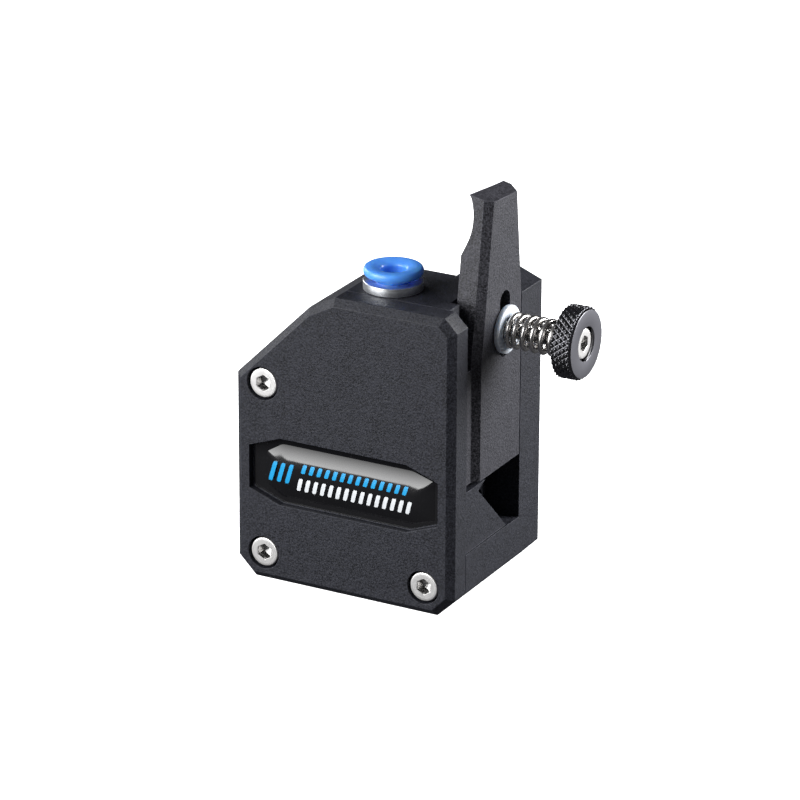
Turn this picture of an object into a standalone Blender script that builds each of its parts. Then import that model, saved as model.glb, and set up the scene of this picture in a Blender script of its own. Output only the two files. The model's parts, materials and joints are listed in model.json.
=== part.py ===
"""Geared dual-drive filament extruder for a NEMA 17 motor.

The finished model's origin is the middle of the case's underside. +Y runs from the front cover
towards the motor, +X is to the right seen from the front, and +Z is up. The pieces are drawn about
the motor's shaft, with Y = 0 on the motor face, and stand_on_base lifts them at the end. All lengths
are metres.
"""

import math

import bmesh
import bpy
from mathutils import Euler, Matrix, Vector

MM = 0.001

# Driving dimensions.
MOTOR_HOLE = 15.5 * MM          # NEMA 17: 31 mm between screws
MODULE = 0.5 * MM
PINION_TEETH = 17
MAIN_TEETH = 50
HALF_WIDTH = 21.0 * MM
TOP = 33.0 * MM
BOTTOM = -20.6 * MM
DEPTH = 32.0 * MM
COVER_THICKNESS = 5.0 * MM
GAP = 0.1 * MM
FILAMENT_Y = -22.0 * MM
TENSION_Y = -13.7 * MM
TENSION_Z = 26.1 * MM

# Places that follow from them.
DRIVE_Z = MODULE * (PINION_TEETH + MAIN_TEETH) / 2
IDLER_X = MODULE * PINION_TEETH
FILAMENT_X = IDLER_X / 2
DRIVE = (0.0, DRIVE_Z)
IDLER = (IDLER_X, DRIVE_Z)
MOTOR = (0.0, 0.0)
PIVOT = (MOTOR_HOLE, -MOTOR_HOLE)
FRONT = -DEPTH
SEAM = FRONT + COVER_THICKNESS
HOUSING_FRONT = SEAM + GAP

# Case outline and its cuts.
FOOT_CUT = 3.3 * MM
SHOULDER_CUT = 2.4 * MM
SLOPE_FOOT_Z = 16.4 * MM
SLOPE_TURN_X = -7.0 * MM
SLOPE_TOP_X = -2.0 * MM
SLOPE_SHORT = 2.6 * MM
FRONT_BEVEL = 1.25 * MM
REAR_TOP_Y = -11.3 * MM
REAR_TOP_DROP = 5.5 * MM
REAR_BLOCK_X = 10.5 * MM

# Depths of the inside, front to back.
FORK_FRONT_Y = -26.7 * MM
FORK_ARM = 1.4 * MM
FORK_BACK_Y = -15.5 * MM
CHAMBER_BACK_Y = -15.1 * MM
GEAR_ROOM_Y = -11.5 * MM
MAIN_FRONT_Y = -10.9 * MM
MAIN_BACK_Y = -5.9 * MM
PLATE_Y = -7.5 * MM

# Bought-in parts.
SHAFT_R = 2.5 * MM
BEARING_R = 4.0 * MM
BEARING_WIDTH = 2.5 * MM
M3_R = 1.45 * MM
M3_CLEAR_R = 1.7 * MM
M3_HEAD_R = 2.75 * MM
M3_HEAD = 3.0 * MM
HEX_KEY = 2.5 * MM
TUBE_R = 1.95 * MM
TUBE_BORE_R = 1.05 * MM
COLLET_R = 5.15 * MM
COLLET_BODY_R = 4.2 * MM
COLLET_FOOT_Z = 25.0 * MM

# The lever, its thumbscrew and spring.
LEVER_IN = 16.2 * MM
LEVER_BASE_Z = 1.4 * MM
LEVER_TIP_X = 17.6 * MM
LEVER_TIP_Y = -18.9 * MM
LEVER_TIP_Z = 50.6 * MM
LEVER_BACK_Y = -7.8 * MM
LEVER_CHAMFER = 1.3 * MM
GUSSET_TOP = 0.7 * MM
GUSSET_THICK = 1.5 * MM
GUSSET_SET_BACK = 0.4 * MM
WINDOW_FLOOR = -10.4 * MM
WASHER_THICK = 0.9 * MM
WASHER_R = 4.2 * MM
SPRING_R = 2.68 * MM
SPRING_WIRE_R = 0.5 * MM
SPRING_TURNS = 5.5
KNOB_R = 6.3 * MM
KNOB_NECK_X = 31.8 * MM
KNOB_RIM_X = 32.5 * MM
KNOB_FACE_X = 36.3 * MM
TENSION_LENGTH = 22.0 * MM
NUT_X = 12.4 * MM
NUT_THICK = 2.4 * MM
NUT_ACROSS = 5.5 * MM

ROUND = 24
FINE = 1e-6
TO_AXIS = {
    "X": Euler((0.0, math.pi / 2, 0.0)).to_matrix().to_4x4(),
    "Y": Euler((-math.pi / 2, 0.0, 0.0)).to_matrix().to_4x4(),
    "Z": Matrix.Identity(4),
}
TO_PLANE = {
    "X": Euler((math.pi / 2, 0.0, math.pi / 2)).to_matrix().to_4x4(),
    "Y": Euler((math.pi / 2, 0.0, 0.0)).to_matrix().to_4x4(),
    "Z": Matrix.Identity(4),
}


# ---------------------------------------------------------------- scene helpers

def clear_scene():
    for obj in list(bpy.data.objects):
        bpy.data.objects.remove(obj, do_unlink=True)


def new_collection(name):
    collection = bpy.data.collections.new(name)
    bpy.context.scene.collection.children.link(collection)
    return collection


def make_material(name, color, roughness, metallic=0.0):
    material = bpy.data.materials.new(name)
    material.use_nodes = True
    shader = material.node_tree.nodes["Principled BSDF"]
    shader.inputs["Base Color"].default_value = (*color, 1.0)
    shader.inputs["Roughness"].default_value = roughness
    shader.inputs["Metallic"].default_value = metallic
    return material


def place(axis, centre, along):
    """The point with these two coordinates across the axis, in X, Y, Z order, and this one along it."""
    point = list(centre)
    point.insert("XYZ".index(axis), along)
    return Matrix.Translation(point)


def mesh_object(name, mesh):
    obj = bpy.data.objects.new(name, mesh)
    PARTS.objects.link(obj)
    return obj


def finish(obj, material, smooth=True):
    obj.data.materials.clear()
    obj.data.materials.append(material)
    if smooth:
        obj.data.shade_smooth()
        obj.data.set_sharp_from_angle(angle=math.radians(35))
    return obj


def boolean(obj, tool, operation="DIFFERENCE"):
    """Cuts or joins with a helper object, which moves to the cutters collection."""
    modifier = obj.modifiers.new(operation.lower(), "BOOLEAN")
    modifier.operation = operation
    modifier.object = tool
    if tool.name in PARTS.objects:
        PARTS.objects.unlink(tool)
        CUTTERS.objects.link(tool)
    tool.hide_render = True
    tool.display_type = "WIRE"
    return obj


def cut(obj, *tools):
    for tool in tools:
        boolean(obj, tool)
    return obj


def join(obj, *tools):
    for tool in tools:
        boolean(obj, tool, "UNION")
    return obj


def bake(obj):
    """Replaces the object's mesh with its evaluated one, so that later tools see one clean solid."""
    graph = bpy.context.evaluated_depsgraph_get()
    mesh = bpy.data.meshes.new_from_object(obj.evaluated_get(graph))
    obj.modifiers.clear()
    obj.data = mesh
    return obj


def hang(axis_name, place_xyz, *pieces):
    """Parents pieces to an empty on their joint's axis."""
    empty = bpy.data.objects.new(axis_name, None)
    empty.empty_display_size = 5 * MM
    empty.location = place_xyz
    PARTS.objects.link(empty)
    bpy.context.view_layer.update()
    for piece in pieces:
        piece.parent = empty
        piece.matrix_parent_inverse = empty.matrix_world.inverted()
    return empty


def stand_on_base():
    """Carries every piece on one empty, so that the middle of the underside is at the origin."""
    drawn = list(PARTS.objects)
    base = bpy.data.objects.new("motor_axis", None)
    base.empty_display_size = 5 * MM
    base.location = (0.0, DEPTH / 2, -BOTTOM)
    PARTS.objects.link(base)
    for obj in drawn:
        if obj.parent is None:
            obj.parent = base


# ---------------------------------------------------------------- shape helpers

def cylinder(name, radius, axis, centre, low, high, tip=None, steps=ROUND):
    """A solid cylinder, or a cone that ends in radius tip, between two stations along an axis."""
    bm = bmesh.new()
    end = radius if tip is None else tip
    depth = high - low
    bmesh.ops.create_cone(bm, cap_ends=True, segments=steps, radius1=radius, radius2=end, depth=depth)
    bm.transform(place(axis, centre, (low + high) / 2) @ TO_AXIS[axis])
    mesh = bpy.data.meshes.new(name)
    bm.to_mesh(mesh)
    bm.free()
    return mesh_object(name, mesh)


def box(name, low, high):
    bm = bmesh.new()
    bmesh.ops.create_cube(bm, size=1.0)
    size = [b - a for a, b in zip(low, high)]
    middle = [(a + b) / 2 for a, b in zip(low, high)]
    bm.transform(Matrix.Translation(middle) @ Matrix.Diagonal((*size, 1.0)))
    mesh = bpy.data.meshes.new(name)
    bm.to_mesh(mesh)
    bm.free()
    return mesh_object(name, mesh)


def prism(name, outlines, axis, low, high):
    """Extrudes flat outlines along an axis. Outlines after the first are holes."""
    curve = bpy.data.curves.new(name, "CURVE")
    curve.dimensions = "2D"
    curve.fill_mode = "BOTH"
    curve.extrude = (high - low) / 2
    for outline in outlines:
        spline = curve.splines.new("POLY")
        spline.points.add(len(outline) - 1)
        for point, (u, v) in zip(spline.points, outline):
            point.co = (u, v, 0.0, 1.0)
        spline.use_cyclic_u = True
    drawn = mesh_object(name + "_outline", curve)
    graph = bpy.context.evaluated_depsgraph_get()
    mesh = bpy.data.meshes.new_from_object(drawn.evaluated_get(graph))
    bpy.data.objects.remove(drawn)
    mesh.name = name
    bm = bmesh.new()
    bm.from_mesh(mesh)
    bmesh.ops.remove_doubles(bm, verts=bm.verts, dist=FINE)
    bmesh.ops.recalc_face_normals(bm, faces=bm.faces)
    bm.transform(place(axis, (0.0, 0.0), (low + high) / 2) @ TO_PLANE[axis])
    bm.to_mesh(mesh)
    bm.free()
    return mesh_object(name, mesh)


def hull(name, points):
    """The smallest solid that holds all the points."""
    bm = bmesh.new()
    for point in points:
        bm.verts.new(point)
    bmesh.ops.convex_hull(bm, input=bm.verts)
    bmesh.ops.recalc_face_normals(bm, faces=bm.faces)
    mesh = bpy.data.meshes.new(name)
    bm.to_mesh(mesh)
    bm.free()
    return mesh_object(name, mesh)


def turned(name, profile, axis, centre, steps=ROUND, closed=True):
    """Turns a profile of (radius, station) points about an axis. It runs down its outer side."""
    mesh = bpy.data.meshes.new(name)
    count = len(profile)
    edges = [(i, i + 1) for i in range(count - 1)]
    if closed:
        edges.append((count - 1, 0))
    mesh.from_pydata([(r, 0.0, h) for r, h in profile], edges, [])
    obj = mesh_object(name, mesh)
    screw = obj.modifiers.new("turn", "SCREW")
    screw.steps = steps
    screw.render_steps = steps
    screw.use_merge_vertices = True
    screw.merge_threshold = FINE
    obj.matrix_world = place(axis, centre, 0.0) @ TO_AXIS[axis]
    return bake(obj)


def ring(name, outer, inner, axis, centre, low, high, steps=ROUND):
    profile = [(outer, high), (outer, low), (inner, low), (inner, high)]
    return turned(name, profile, axis, centre, steps)


def hexagon(across, centre, turn=0.0):
    radius = across / math.sqrt(3)
    angles = [turn + math.pi / 3 * i for i in range(6)]
    return [(centre[0] + radius * math.cos(a), centre[1] + radius * math.sin(a)) for a in angles]


def arc(centre, radius, start, stop, steps):
    """Points along an arc, angles in degrees."""
    angles = [math.radians(start + (stop - start) * i / steps) for i in range(steps + 1)]
    return [(centre[0] + radius * math.cos(a), centre[1] + radius * math.sin(a)) for a in angles]


# ---------------------------------------------------------------- gears

def involute(angle):
    return math.tan(angle) - angle


def gear_outline(teeth, centre, first_tooth, addendum=0.92, dedendum=1.2, thinning=0.05 * MM):
    """Involute teeth. Small gears get a point halfway up each flank. first_tooth is in degrees."""
    pressure = math.radians(20)
    pitch_r = MODULE * teeth / 2
    base_r = pitch_r * math.cos(pressure)
    radii = [pitch_r - dedendum * MODULE, pitch_r, pitch_r + addendum * MODULE]
    if teeth == MAIN_TEETH:
        radii.remove(pitch_r)
    half_pitch = math.pi / (2 * teeth) - thinning / pitch_r
    halves = []
    for radius in radii:
        lean = math.acos(base_r / max(radius, base_r))
        halves.append(half_pitch + involute(pressure) - involute(lean))
    points = []
    for tooth in range(teeth):
        middle = math.radians(first_tooth) + 2 * math.pi * tooth / teeth
        flank = [(r, middle - h) for r, h in zip(radii, halves)]
        flank += [(r, middle + h) for r, h in reversed(list(zip(radii, halves)))]
        points += [(centre[0] + r * math.cos(a), centre[1] + r * math.sin(a)) for r, a in flank]
    return points


def gear(name, teeth, centre, first_tooth, low, high, bore):
    hole = arc(centre, bore, 0, 360 * (1 - 1 / ROUND), ROUND - 1)
    return prism(name, [gear_outline(teeth, centre, first_tooth), hole], "Y", low, high)


def hobbed_gear(name, centre, first_tooth, front, back, bore):
    """A drive gear: front hub, a grooved band that bites the filament, a neck that clears the other
    gear's tips, then spur teeth at the back."""
    rim = 3.95 * MM
    groove = 3.42 * MM
    core = 3.2 * MM
    half_band = 1.5 * MM
    flat = 0.5 * MM
    rim_end = back - 3.1 * MM
    teeth_front = back - 2.7 * MM
    profile = [
        (core, back - 0.2 * MM),
        (core, rim_end),
        (rim, rim_end),
        (rim, FILAMENT_Y + half_band),
        (groove, FILAMENT_Y + flat),
        (groove, FILAMENT_Y - flat),
        (rim, FILAMENT_Y - half_band),
        (rim, front),
        (bore, front),
        (bore, back - 0.2 * MM),
    ]
    body = turned(name, profile, "Y", centre)
    inside = core - 0.3 * MM
    teeth = gear(name + "_teeth", PINION_TEETH, centre, first_tooth, teeth_front, back, inside)
    return bake(join(body, teeth))


# ---------------------------------------------------------------- the case

def case_outline():
    """The case seen from the front, counter-clockwise from its lower left."""
    turn_z = TOP - SLOPE_SHORT
    return [
        (-HALF_WIDTH, BOTTOM + FOOT_CUT),
        (-HALF_WIDTH + FOOT_CUT, BOTTOM),
        (HALF_WIDTH - FOOT_CUT, BOTTOM),
        (HALF_WIDTH, BOTTOM + FOOT_CUT),
        (HALF_WIDTH, TOP - SHOULDER_CUT),
        (HALF_WIDTH - SHOULDER_CUT, TOP),
        (SLOPE_TOP_X, TOP),
        (SLOPE_TURN_X, turn_z),
        (-HALF_WIDTH, SLOPE_FOOT_Z),
    ]


def label_outline(inset=0.0):
    """The long octagon of the badge and its recess."""
    long_x = 18.2 * MM - inset
    short_x = 12.2 * MM - inset * 0.6
    short_z = 3.9 * MM - inset * 0.6
    tall_z = 6.1 * MM - inset
    corners = [(long_x, short_z), (short_x, tall_z)]
    upper = corners + [(-x, z) for x, z in reversed(corners)]
    return upper + [(-x, -z) for x, z in upper]


def bevel_front_edges(obj, width):
    """Chamfers the sharp edges of the front face only."""
    bm = bmesh.new()
    bm.from_mesh(obj.data)
    bmesh.ops.dissolve_limit(bm, angle_limit=math.radians(1), verts=bm.verts, edges=bm.edges)
    front = [
        edge for edge in bm.edges
        if all(abs(v.co.y - FRONT) < FINE for v in edge.verts) and edge.calc_face_angle() > 0.5
    ]
    bmesh.ops.bevel(bm, geom=front, offset=width, offset_type="OFFSET", segments=1, affect="EDGES")
    bm.to_mesh(obj.data)
    bm.free()
    return obj


def case_screw_places():
    return {
        "case_screw_upper_left": (-MOTOR_HOLE, MOTOR_HOLE),
        "case_screw_lower_left": (-MOTOR_HOLE, -MOTOR_HOLE),
        "pivot_screw": PIVOT,
    }


def build_front_cover(material):
    cover = prism("front_cover", [case_outline()], "Y", FRONT, SEAM)
    bevel_front_edges(cover, FRONT_BEVEL)
    cut(cover, prism("label_recess", [label_outline()], "Y", FRONT - MM, FRONT + 1.3 * MM))
    for name, centre in case_screw_places().items():
        sunk = 0.3 * MM + M3_HEAD + GAP
        head_room = M3_HEAD_R + 0.25 * MM
        cut(cover, cylinder(name + "_sink", head_room, "Y", centre, FRONT - MM, FRONT + sunk, steps=40))
        cut(cover, cylinder(name + "_hole", M3_CLEAR_R, "Y", centre, FRONT, SEAM + MM, steps=20))
    pocket = SEAM - BEARING_WIDTH - GAP
    cut(
        cover,
        cylinder("front_bearing_pocket", BEARING_R + GAP / 2, "Y", DRIVE, pocket, SEAM + MM),
        cylinder("shaft_end_room", 3.1 * MM, "Y", DRIVE, pocket - 0.5 * MM, SEAM),
    )
    return finish(bake(cover), material, smooth=False)


def build_badge(material):
    base = FRONT + 1.3 * MM - GAP
    badge = prism("cover_badge", [label_outline(0.5 * MM)], "Y", base - 1.0 * MM, base)
    bm = bmesh.new()
    bm.from_mesh(badge.data)
    bmesh.ops.dissolve_limit(bm, angle_limit=math.radians(1), verts=bm.verts, edges=bm.edges)
    rim = [
        edge for edge in bm.edges
        if all(v.co.y < base - 0.9 * MM for v in edge.verts) and edge.calc_face_angle() > 0.5
    ]
    bmesh.ops.bevel(bm, geom=rim, offset=0.7 * MM, offset_type="OFFSET", segments=2, affect="EDGES",
                    profile=0.5)
    bm.to_mesh(badge.data)
    bm.free()
    return finish(badge, material)


def lever_room():
    """Cutters for the space that the lever and the drive gears swing in."""
    far = HALF_WIDTH + 9 * MM
    high = TOP + 9 * MM
    front = HOUSING_FRONT - MM
    inner = LEVER_IN - 0.3 * MM
    leg_x = 11.7 * MM
    gusset_in = HALF_WIDTH - GUSSET_SET_BACK - GUSSET_THICK
    room = 5.4 * MM
    return [
        box("lever_slot", (inner, -23.7 * MM, GUSSET_TOP), (far, PLATE_Y, high)),
        box("lever_front_slot", (17.6 * MM, front, GUSSET_TOP), (far, -23.0 * MM, high)),
        cylinder("drive_gear_room", room, "Y", DRIVE, front, CHAMBER_BACK_Y),
        box("fork_room", (0.0, front, DRIVE_Z - room), (far, CHAMBER_BACK_Y, DRIVE_Z + 6.1 * MM)),
        box("leg_room", (leg_x, front, PIVOT[1]), (gusset_in, CHAMBER_BACK_Y, DRIVE_Z)),
        cylinder("pivot_room", 4.1 * MM, "Y", PIVOT, front, -18.6 * MM),
        box("window_room", (leg_x, -22.0 * MM, WINDOW_FLOOR), (gusset_in, PLATE_Y, 4.0 * MM)),
    ]


def gusset_window():
    """The five-sided opening in the thin web at the lower right."""
    outline = [
        (-19.4 * MM, GUSSET_TOP + 5 * MM),
        (-19.4 * MM, GUSSET_TOP),
        (-22.0 * MM, -0.4 * MM),
        (-11.6 * MM, WINDOW_FLOOR),
        (PLATE_Y, WINDOW_FLOOR),
        (PLATE_Y, GUSSET_TOP + 5 * MM),
    ]
    skin = HALF_WIDTH - GUSSET_SET_BACK
    recess = box(
        "gusset_set_back",
        (skin, HOUSING_FRONT - MM, WINDOW_FLOOR),
        (HALF_WIDTH + MM, PLATE_Y, GUSSET_TOP + MM),
    )
    return [prism("window", [outline], "X", skin - 3 * MM, HALF_WIDTH + MM), recess]


def gear_room():
    """Cutters behind the middle wall: the main gear, the pinion and the motor's pilot boss."""
    behind = MM
    return [
        cylinder("main_gear_room", 13.35 * MM, "Y", DRIVE, GEAR_ROOM_Y, behind, steps=80),
        cylinder("pinion_room", 6.2 * MM, "Y", MOTOR, GEAR_ROOM_Y, behind, steps=40),
        cylinder("pilot_room", 11.1 * MM, "Y", MOTOR, -2.3 * MM, behind, steps=72),
        cylinder("rear_bearing_pocket", BEARING_R + GAP / 2, "Y", DRIVE,
                 GEAR_ROOM_Y - BEARING_WIDTH - GAP, GEAR_ROOM_Y + MM),
        cylinder("shaft_passage", 3.1 * MM, "Y", DRIVE, CHAMBER_BACK_Y - MM, GEAR_ROOM_Y),
    ]


def filament_path():
    """Cutters for the collet and the two guide tubes."""
    centre = (FILAMENT_X, FILAMENT_Y)
    bore = TUBE_R + GAP
    return [
        cylinder("collet_bore", COLLET_BODY_R + GAP, "Z", centre, COLLET_FOOT_Z - GAP, TOP + MM, steps=40),
        cylinder("upper_tube_bore", bore, "Z", centre, DRIVE_Z, TOP, steps=20),
        cylinder("lower_tube_bore", bore, "Z", centre, BOTTOM - MM, DRIVE_Z, steps=20),
    ]


def tension_seat():
    """Cutters for the thumbscrew and the slot that its nut slides into from the motor side."""
    nut_room = NUT_ACROSS / 2 + GAP
    return [
        cylinder("tension_bore", M3_CLEAR_R, "X", (TENSION_Y, TENSION_Z), 9.0 * MM, 17 * MM, steps=20),
        box(
            "nut_slot",
            (NUT_X - GAP, TENSION_Y - nut_room, TENSION_Z - nut_room),
            (NUT_X + NUT_THICK + GAP, MM, TENSION_Z + nut_room),
        ),
    ]


def outer_trims():
    """Cutters that shape the top behind the collet and the rear right shoulder."""
    clear = MM
    slope = [
        (REAR_TOP_Y, TOP + clear),
        (REAR_TOP_Y, TOP),
        (clear, TOP - REAR_TOP_DROP * (1 - clear / REAR_TOP_Y)),
        (clear, TOP + clear),
    ]
    shoulder = [
        (14.9 * MM, TOP),
        (HALF_WIDTH + clear, TOP - 2.75 * MM),
        (HALF_WIDTH + clear, TOP + clear),
        (14.9 * MM, TOP + clear),
    ]
    return [
        prism("rear_slope", [slope], "X", -HALF_WIDTH - clear, REAR_BLOCK_X),
        prism("rear_shoulder", [shoulder], "Y", PLATE_Y - 2 * clear, clear),
    ]


def rear_pockets():
    """Moulding pockets in the motor side of the left wall."""
    floor_y = -9.0 * MM
    low = [
        (-18.6 * MM, -9.8 * MM), (-13.0 * MM, -9.8 * MM), (-13.0 * MM, -2.0 * MM),
        (-15.0 * MM, 4.4 * MM), (-18.6 * MM, 9.4 * MM),
    ]
    base = [
        (-9.8 * MM, -18.4 * MM), (0.6 * MM, -18.4 * MM), (0.6 * MM, -13.4 * MM), (-9.8 * MM, -13.4 * MM),
    ]
    return [
        prism("left_pocket", [low], "Y", floor_y, MM),
        prism("base_pocket", [base], "Y", floor_y, MM),
    ]


def build_housing(material):
    housing = prism("main_housing", [case_outline()], "Y", HOUSING_FRONT, 0.0)
    cut(housing, *lever_room(), *gusset_window(), *gear_room(), *filament_path())
    cut(housing, *tension_seat(), *outer_trims(), *rear_pockets())
    for name, centre in case_screw_places().items():
        cut(housing, cylinder(name + "_way", M3_CLEAR_R, "Y", centre, HOUSING_FRONT - MM, MM, steps=20))
    spare = (MOTOR_HOLE, MOTOR_HOLE)
    cut(housing, cylinder("spare_hole", M3_CLEAR_R, "Y", spare, PLATE_Y - MM, MM, steps=20))
    boss = cylinder("eye_boss", 2.0 * MM, "X", (-11.0 * MM, -5.9 * MM), 11.0 * MM, 15.2 * MM, steps=20)
    eye = cylinder("eye_hole", 0.7 * MM, "X", (-11.0 * MM, -5.9 * MM), 12.4 * MM, 16 * MM, steps=12)
    join(housing, boss)
    cut(housing, eye)
    return finish(bake(housing), material, smooth=False)


# ---------------------------------------------------------------- fasteners

def cap_screw(name, axis, centre, head_top, tip, turn_head, material):
    """A socket cap screw. Its head is at the head_top end, and turn_head is 1 if that is the low end."""
    under = head_top + turn_head * M3_HEAD
    key_floor = head_top + turn_head * 1.6 * MM
    head_edge = 0.2 * MM
    point = 0.4 * MM
    profile = [
        (0.0, head_top),
        (M3_HEAD_R - head_edge, head_top),
        (M3_HEAD_R, head_top + turn_head * head_edge),
        (M3_HEAD_R, under),
        (M3_R, under),
        (M3_R, tip - turn_head * point),
        (M3_R - point, tip),
        (0.0, tip),
    ]
    if turn_head > 0:
        profile.reverse()
    screw = turned(name, profile, axis, centre, steps=20, closed=False)
    outside = head_top - turn_head * MM
    low, high = sorted((outside, key_floor))
    cut(screw, prism(name + "_key", [hexagon(HEX_KEY, centre)], axis, low, high))
    return finish(bake(screw), material)


def build_case_screws(material):
    head_top = FRONT + 0.3 * MM
    tip = 4.3 * MM
    return [
        cap_screw(name, "Y", centre, head_top, tip, 1, material)
        for name, centre in case_screw_places().items()
    ]


def build_pivot_bush(material):
    bush = ring("pivot_bush", 2.4 * MM, 1.6 * MM, "Y", PIVOT, HOUSING_FRONT - GAP / 2, -18.7 * MM, 28)
    return finish(bush, material)


def grub_screw(name, axis, centre, low, high, radius, material):
    """A short set screw with a hex socket in its high end."""
    screw = cylinder(name, radius, axis, centre, low, high, steps=20)
    socket = prism(name + "_key", [hexagon(radius, centre)], axis, high - 0.9 * MM, high + MM)
    return finish(bake(cut(screw, socket)), material)


# ---------------------------------------------------------------- drive train

def bearing(name, front, material):
    """The two races of a 5 x 8 x 2.5 mm ball bearing, with the ball gap between them."""
    back = front + BEARING_WIDTH
    outer = ring(name + "_outer_race", BEARING_R, 3.5 * MM, "Y", DRIVE, front, back)
    inner = ring(name + "_inner_race", 3.05 * MM, SHAFT_R + GAP / 2, "Y", DRIVE, front, back)
    return finish(outer, material), finish(inner, material)


def build_drive_shaft(material):
    chamfer = 0.4 * MM
    front = -29.4 * MM
    back = -4.9 * MM
    profile = [
        (0.0, back), (SHAFT_R - chamfer, back), (SHAFT_R, back - chamfer),
        (SHAFT_R, front + chamfer), (SHAFT_R - chamfer, front), (0.0, front),
    ]
    return finish(turned("drive_shaft", profile, "Y", DRIVE, closed=False), material)


def build_main_gear(material):
    """The large moulded gear, with a thin web between its rim and its hub."""
    hub_r = 4.05 * MM
    main = gear("main_gear", MAIN_TEETH, DRIVE, -90, MAIN_FRONT_Y, MAIN_BACK_Y, hub_r)
    web_out = 10.6 * MM
    web_in = 5.9 * MM
    deep = 1.6 * MM
    for name, low, high in (
        ("web_front", MAIN_FRONT_Y - MM, MAIN_FRONT_Y + deep),
        ("web_back", MAIN_BACK_Y - deep, MAIN_BACK_Y + MM),
    ):
        cut(main, ring(name, web_out, web_in, "Y", DRIVE, low, high, 32))
    return finish(bake(main), material)


def build_gear_hub(material):
    hub = ring("main_gear_hub", 4.0 * MM, SHAFT_R + GAP / 2, "Y", DRIVE, -11.2 * MM, -5.2 * MM)
    return finish(hub, material)


def build_drive_gear(steel, dark):
    """The hobbed gear on the shaft, locked by a set screw in its front hub."""
    front = -26.3 * MM
    gear_obj = hobbed_gear("drive_gear", DRIVE, 0.0, front, -17.2 * MM, SHAFT_R + GAP / 2)
    hole_y = -24.9 * MM
    hole_r = 0.9 * MM
    top = DRIVE_Z + 3.9 * MM
    hole = cylinder("drive_grub_hole", hole_r + GAP / 2, "Z", (0.0, hole_y), DRIVE_Z, top + MM, steps=20)
    cut(gear_obj, hole)
    grub = grub_screw("drive_gear_grub_screw", "Z", (0.0, hole_y), DRIVE_Z + 2.55 * MM, top, hole_r, dark)
    return finish(bake(gear_obj), steel), grub


def build_spacers(material):
    front = ring("front_shim", 3.3 * MM, SHAFT_R + GAP / 2, "Y", DRIVE, -26.95 * MM, -26.4 * MM, 28)
    rear = ring("shaft_spacer", 2.95 * MM, SHAFT_R + GAP / 2, "Y", DRIVE, -17.1 * MM, -14.05 * MM, 28)
    return finish(front, material), finish(rear, material)


def build_pinion(steel, dark):
    """The motor pinion: spur teeth under the main gear and a hub with a set screw behind them."""
    bore = SHAFT_R + GAP / 2
    hub_front = MAIN_BACK_Y + 0.2 * MM
    hub_back = -2.5 * MM
    core = 3.1 * MM
    hub_r = 4.5 * MM
    gap_up = 90 + 180 / PINION_TEETH
    core_front = MAIN_FRONT_Y + GAP
    teeth_back = hub_front + 0.2 * MM
    hub = turned("motor_pinion", [
        (hub_r, hub_back), (hub_r, hub_front), (core, hub_front), (core, core_front), (bore, core_front),
        (bore, hub_back),
    ], "Y", MOTOR)
    teeth = gear("pinion_teeth", PINION_TEETH, MOTOR, gap_up, MAIN_FRONT_Y, teeth_back, core - 0.2 * MM)
    pinion = bake(join(hub, teeth))
    hole_y = -4.1 * MM
    hole_r = 1.1 * MM
    side = -4.4 * MM
    cut(pinion, cylinder("pinion_grub_hole", hole_r + GAP / 2, "X", (hole_y, 0.0), side - MM, 0.0, steps=20))
    grub = cylinder("pinion_grub_screw", hole_r, "X", (hole_y, 0.0), side, -2.6 * MM, steps=20)
    cut(grub, prism("pinion_grub_key", [hexagon(hole_r, (hole_y, 0.0))], "X", side - MM, side + 0.9 * MM))
    return finish(bake(pinion), steel), finish(bake(grub), dark)


# ---------------------------------------------------------------- lever and idler

def lever_plate():
    """The visible plate and handle: a tapered side view, cut to its front view."""
    side = [
        (-23.4 * MM, LEVER_BASE_Z),
        (LEVER_BACK_Y, LEVER_BASE_Z),
        (LEVER_BACK_Y, LEVER_TIP_Z + 2 * MM),
        (-18.9 * MM, LEVER_TIP_Z + 2 * MM),
        (-21.9 * MM, 31.5 * MM),
        (-23.4 * MM, 21.5 * MM),
    ]
    plate = prism("idler_lever", [side], "X", LEVER_IN, HALF_WIDTH)
    grip = arc((8.0 * MM, 46.6 * MM), 10.0 * MM, -25, 21, 8)
    recess = [(10.0 * MM, 39.8 * MM), (LEVER_IN - 0.3 * MM, 39.8 * MM)] + grip + [(10.0 * MM, 60 * MM)]
    slot_r = 1.85 * MM
    slot_low = (TENSION_Y, 22.9 * MM)
    slot_high = (TENSION_Y, 31.1 * MM)
    slot = arc(slot_high, slot_r, 0, 180, 10) + arc(slot_low, slot_r, 180, 360, 10)
    cut(
        plate,
        prism("finger_recess", [recess], "Y", -25 * MM, -5 * MM),
        tip_tool(),
        chamfer_tool(),
        rear_chamfer_tool(),
        prism("lever_slot_cut", [slot], "X", LEVER_IN - MM, HALF_WIDTH + MM),
    )
    return bake(plate)


def tip_tool():
    """The space above the tip, which falls to the right and a little to the back."""
    fall_right = 0.22
    fall_back = 0.06
    corners = []
    for x in (14 * MM, 23 * MM):
        for y in (-25 * MM, -5 * MM):
            foot = LEVER_TIP_Z - fall_right * (x - LEVER_TIP_X) - fall_back * (y - LEVER_TIP_Y)
            corners += [(x, y, foot), (x, y, 60 * MM)]
    return hull("slanted_tip", corners)


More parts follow.
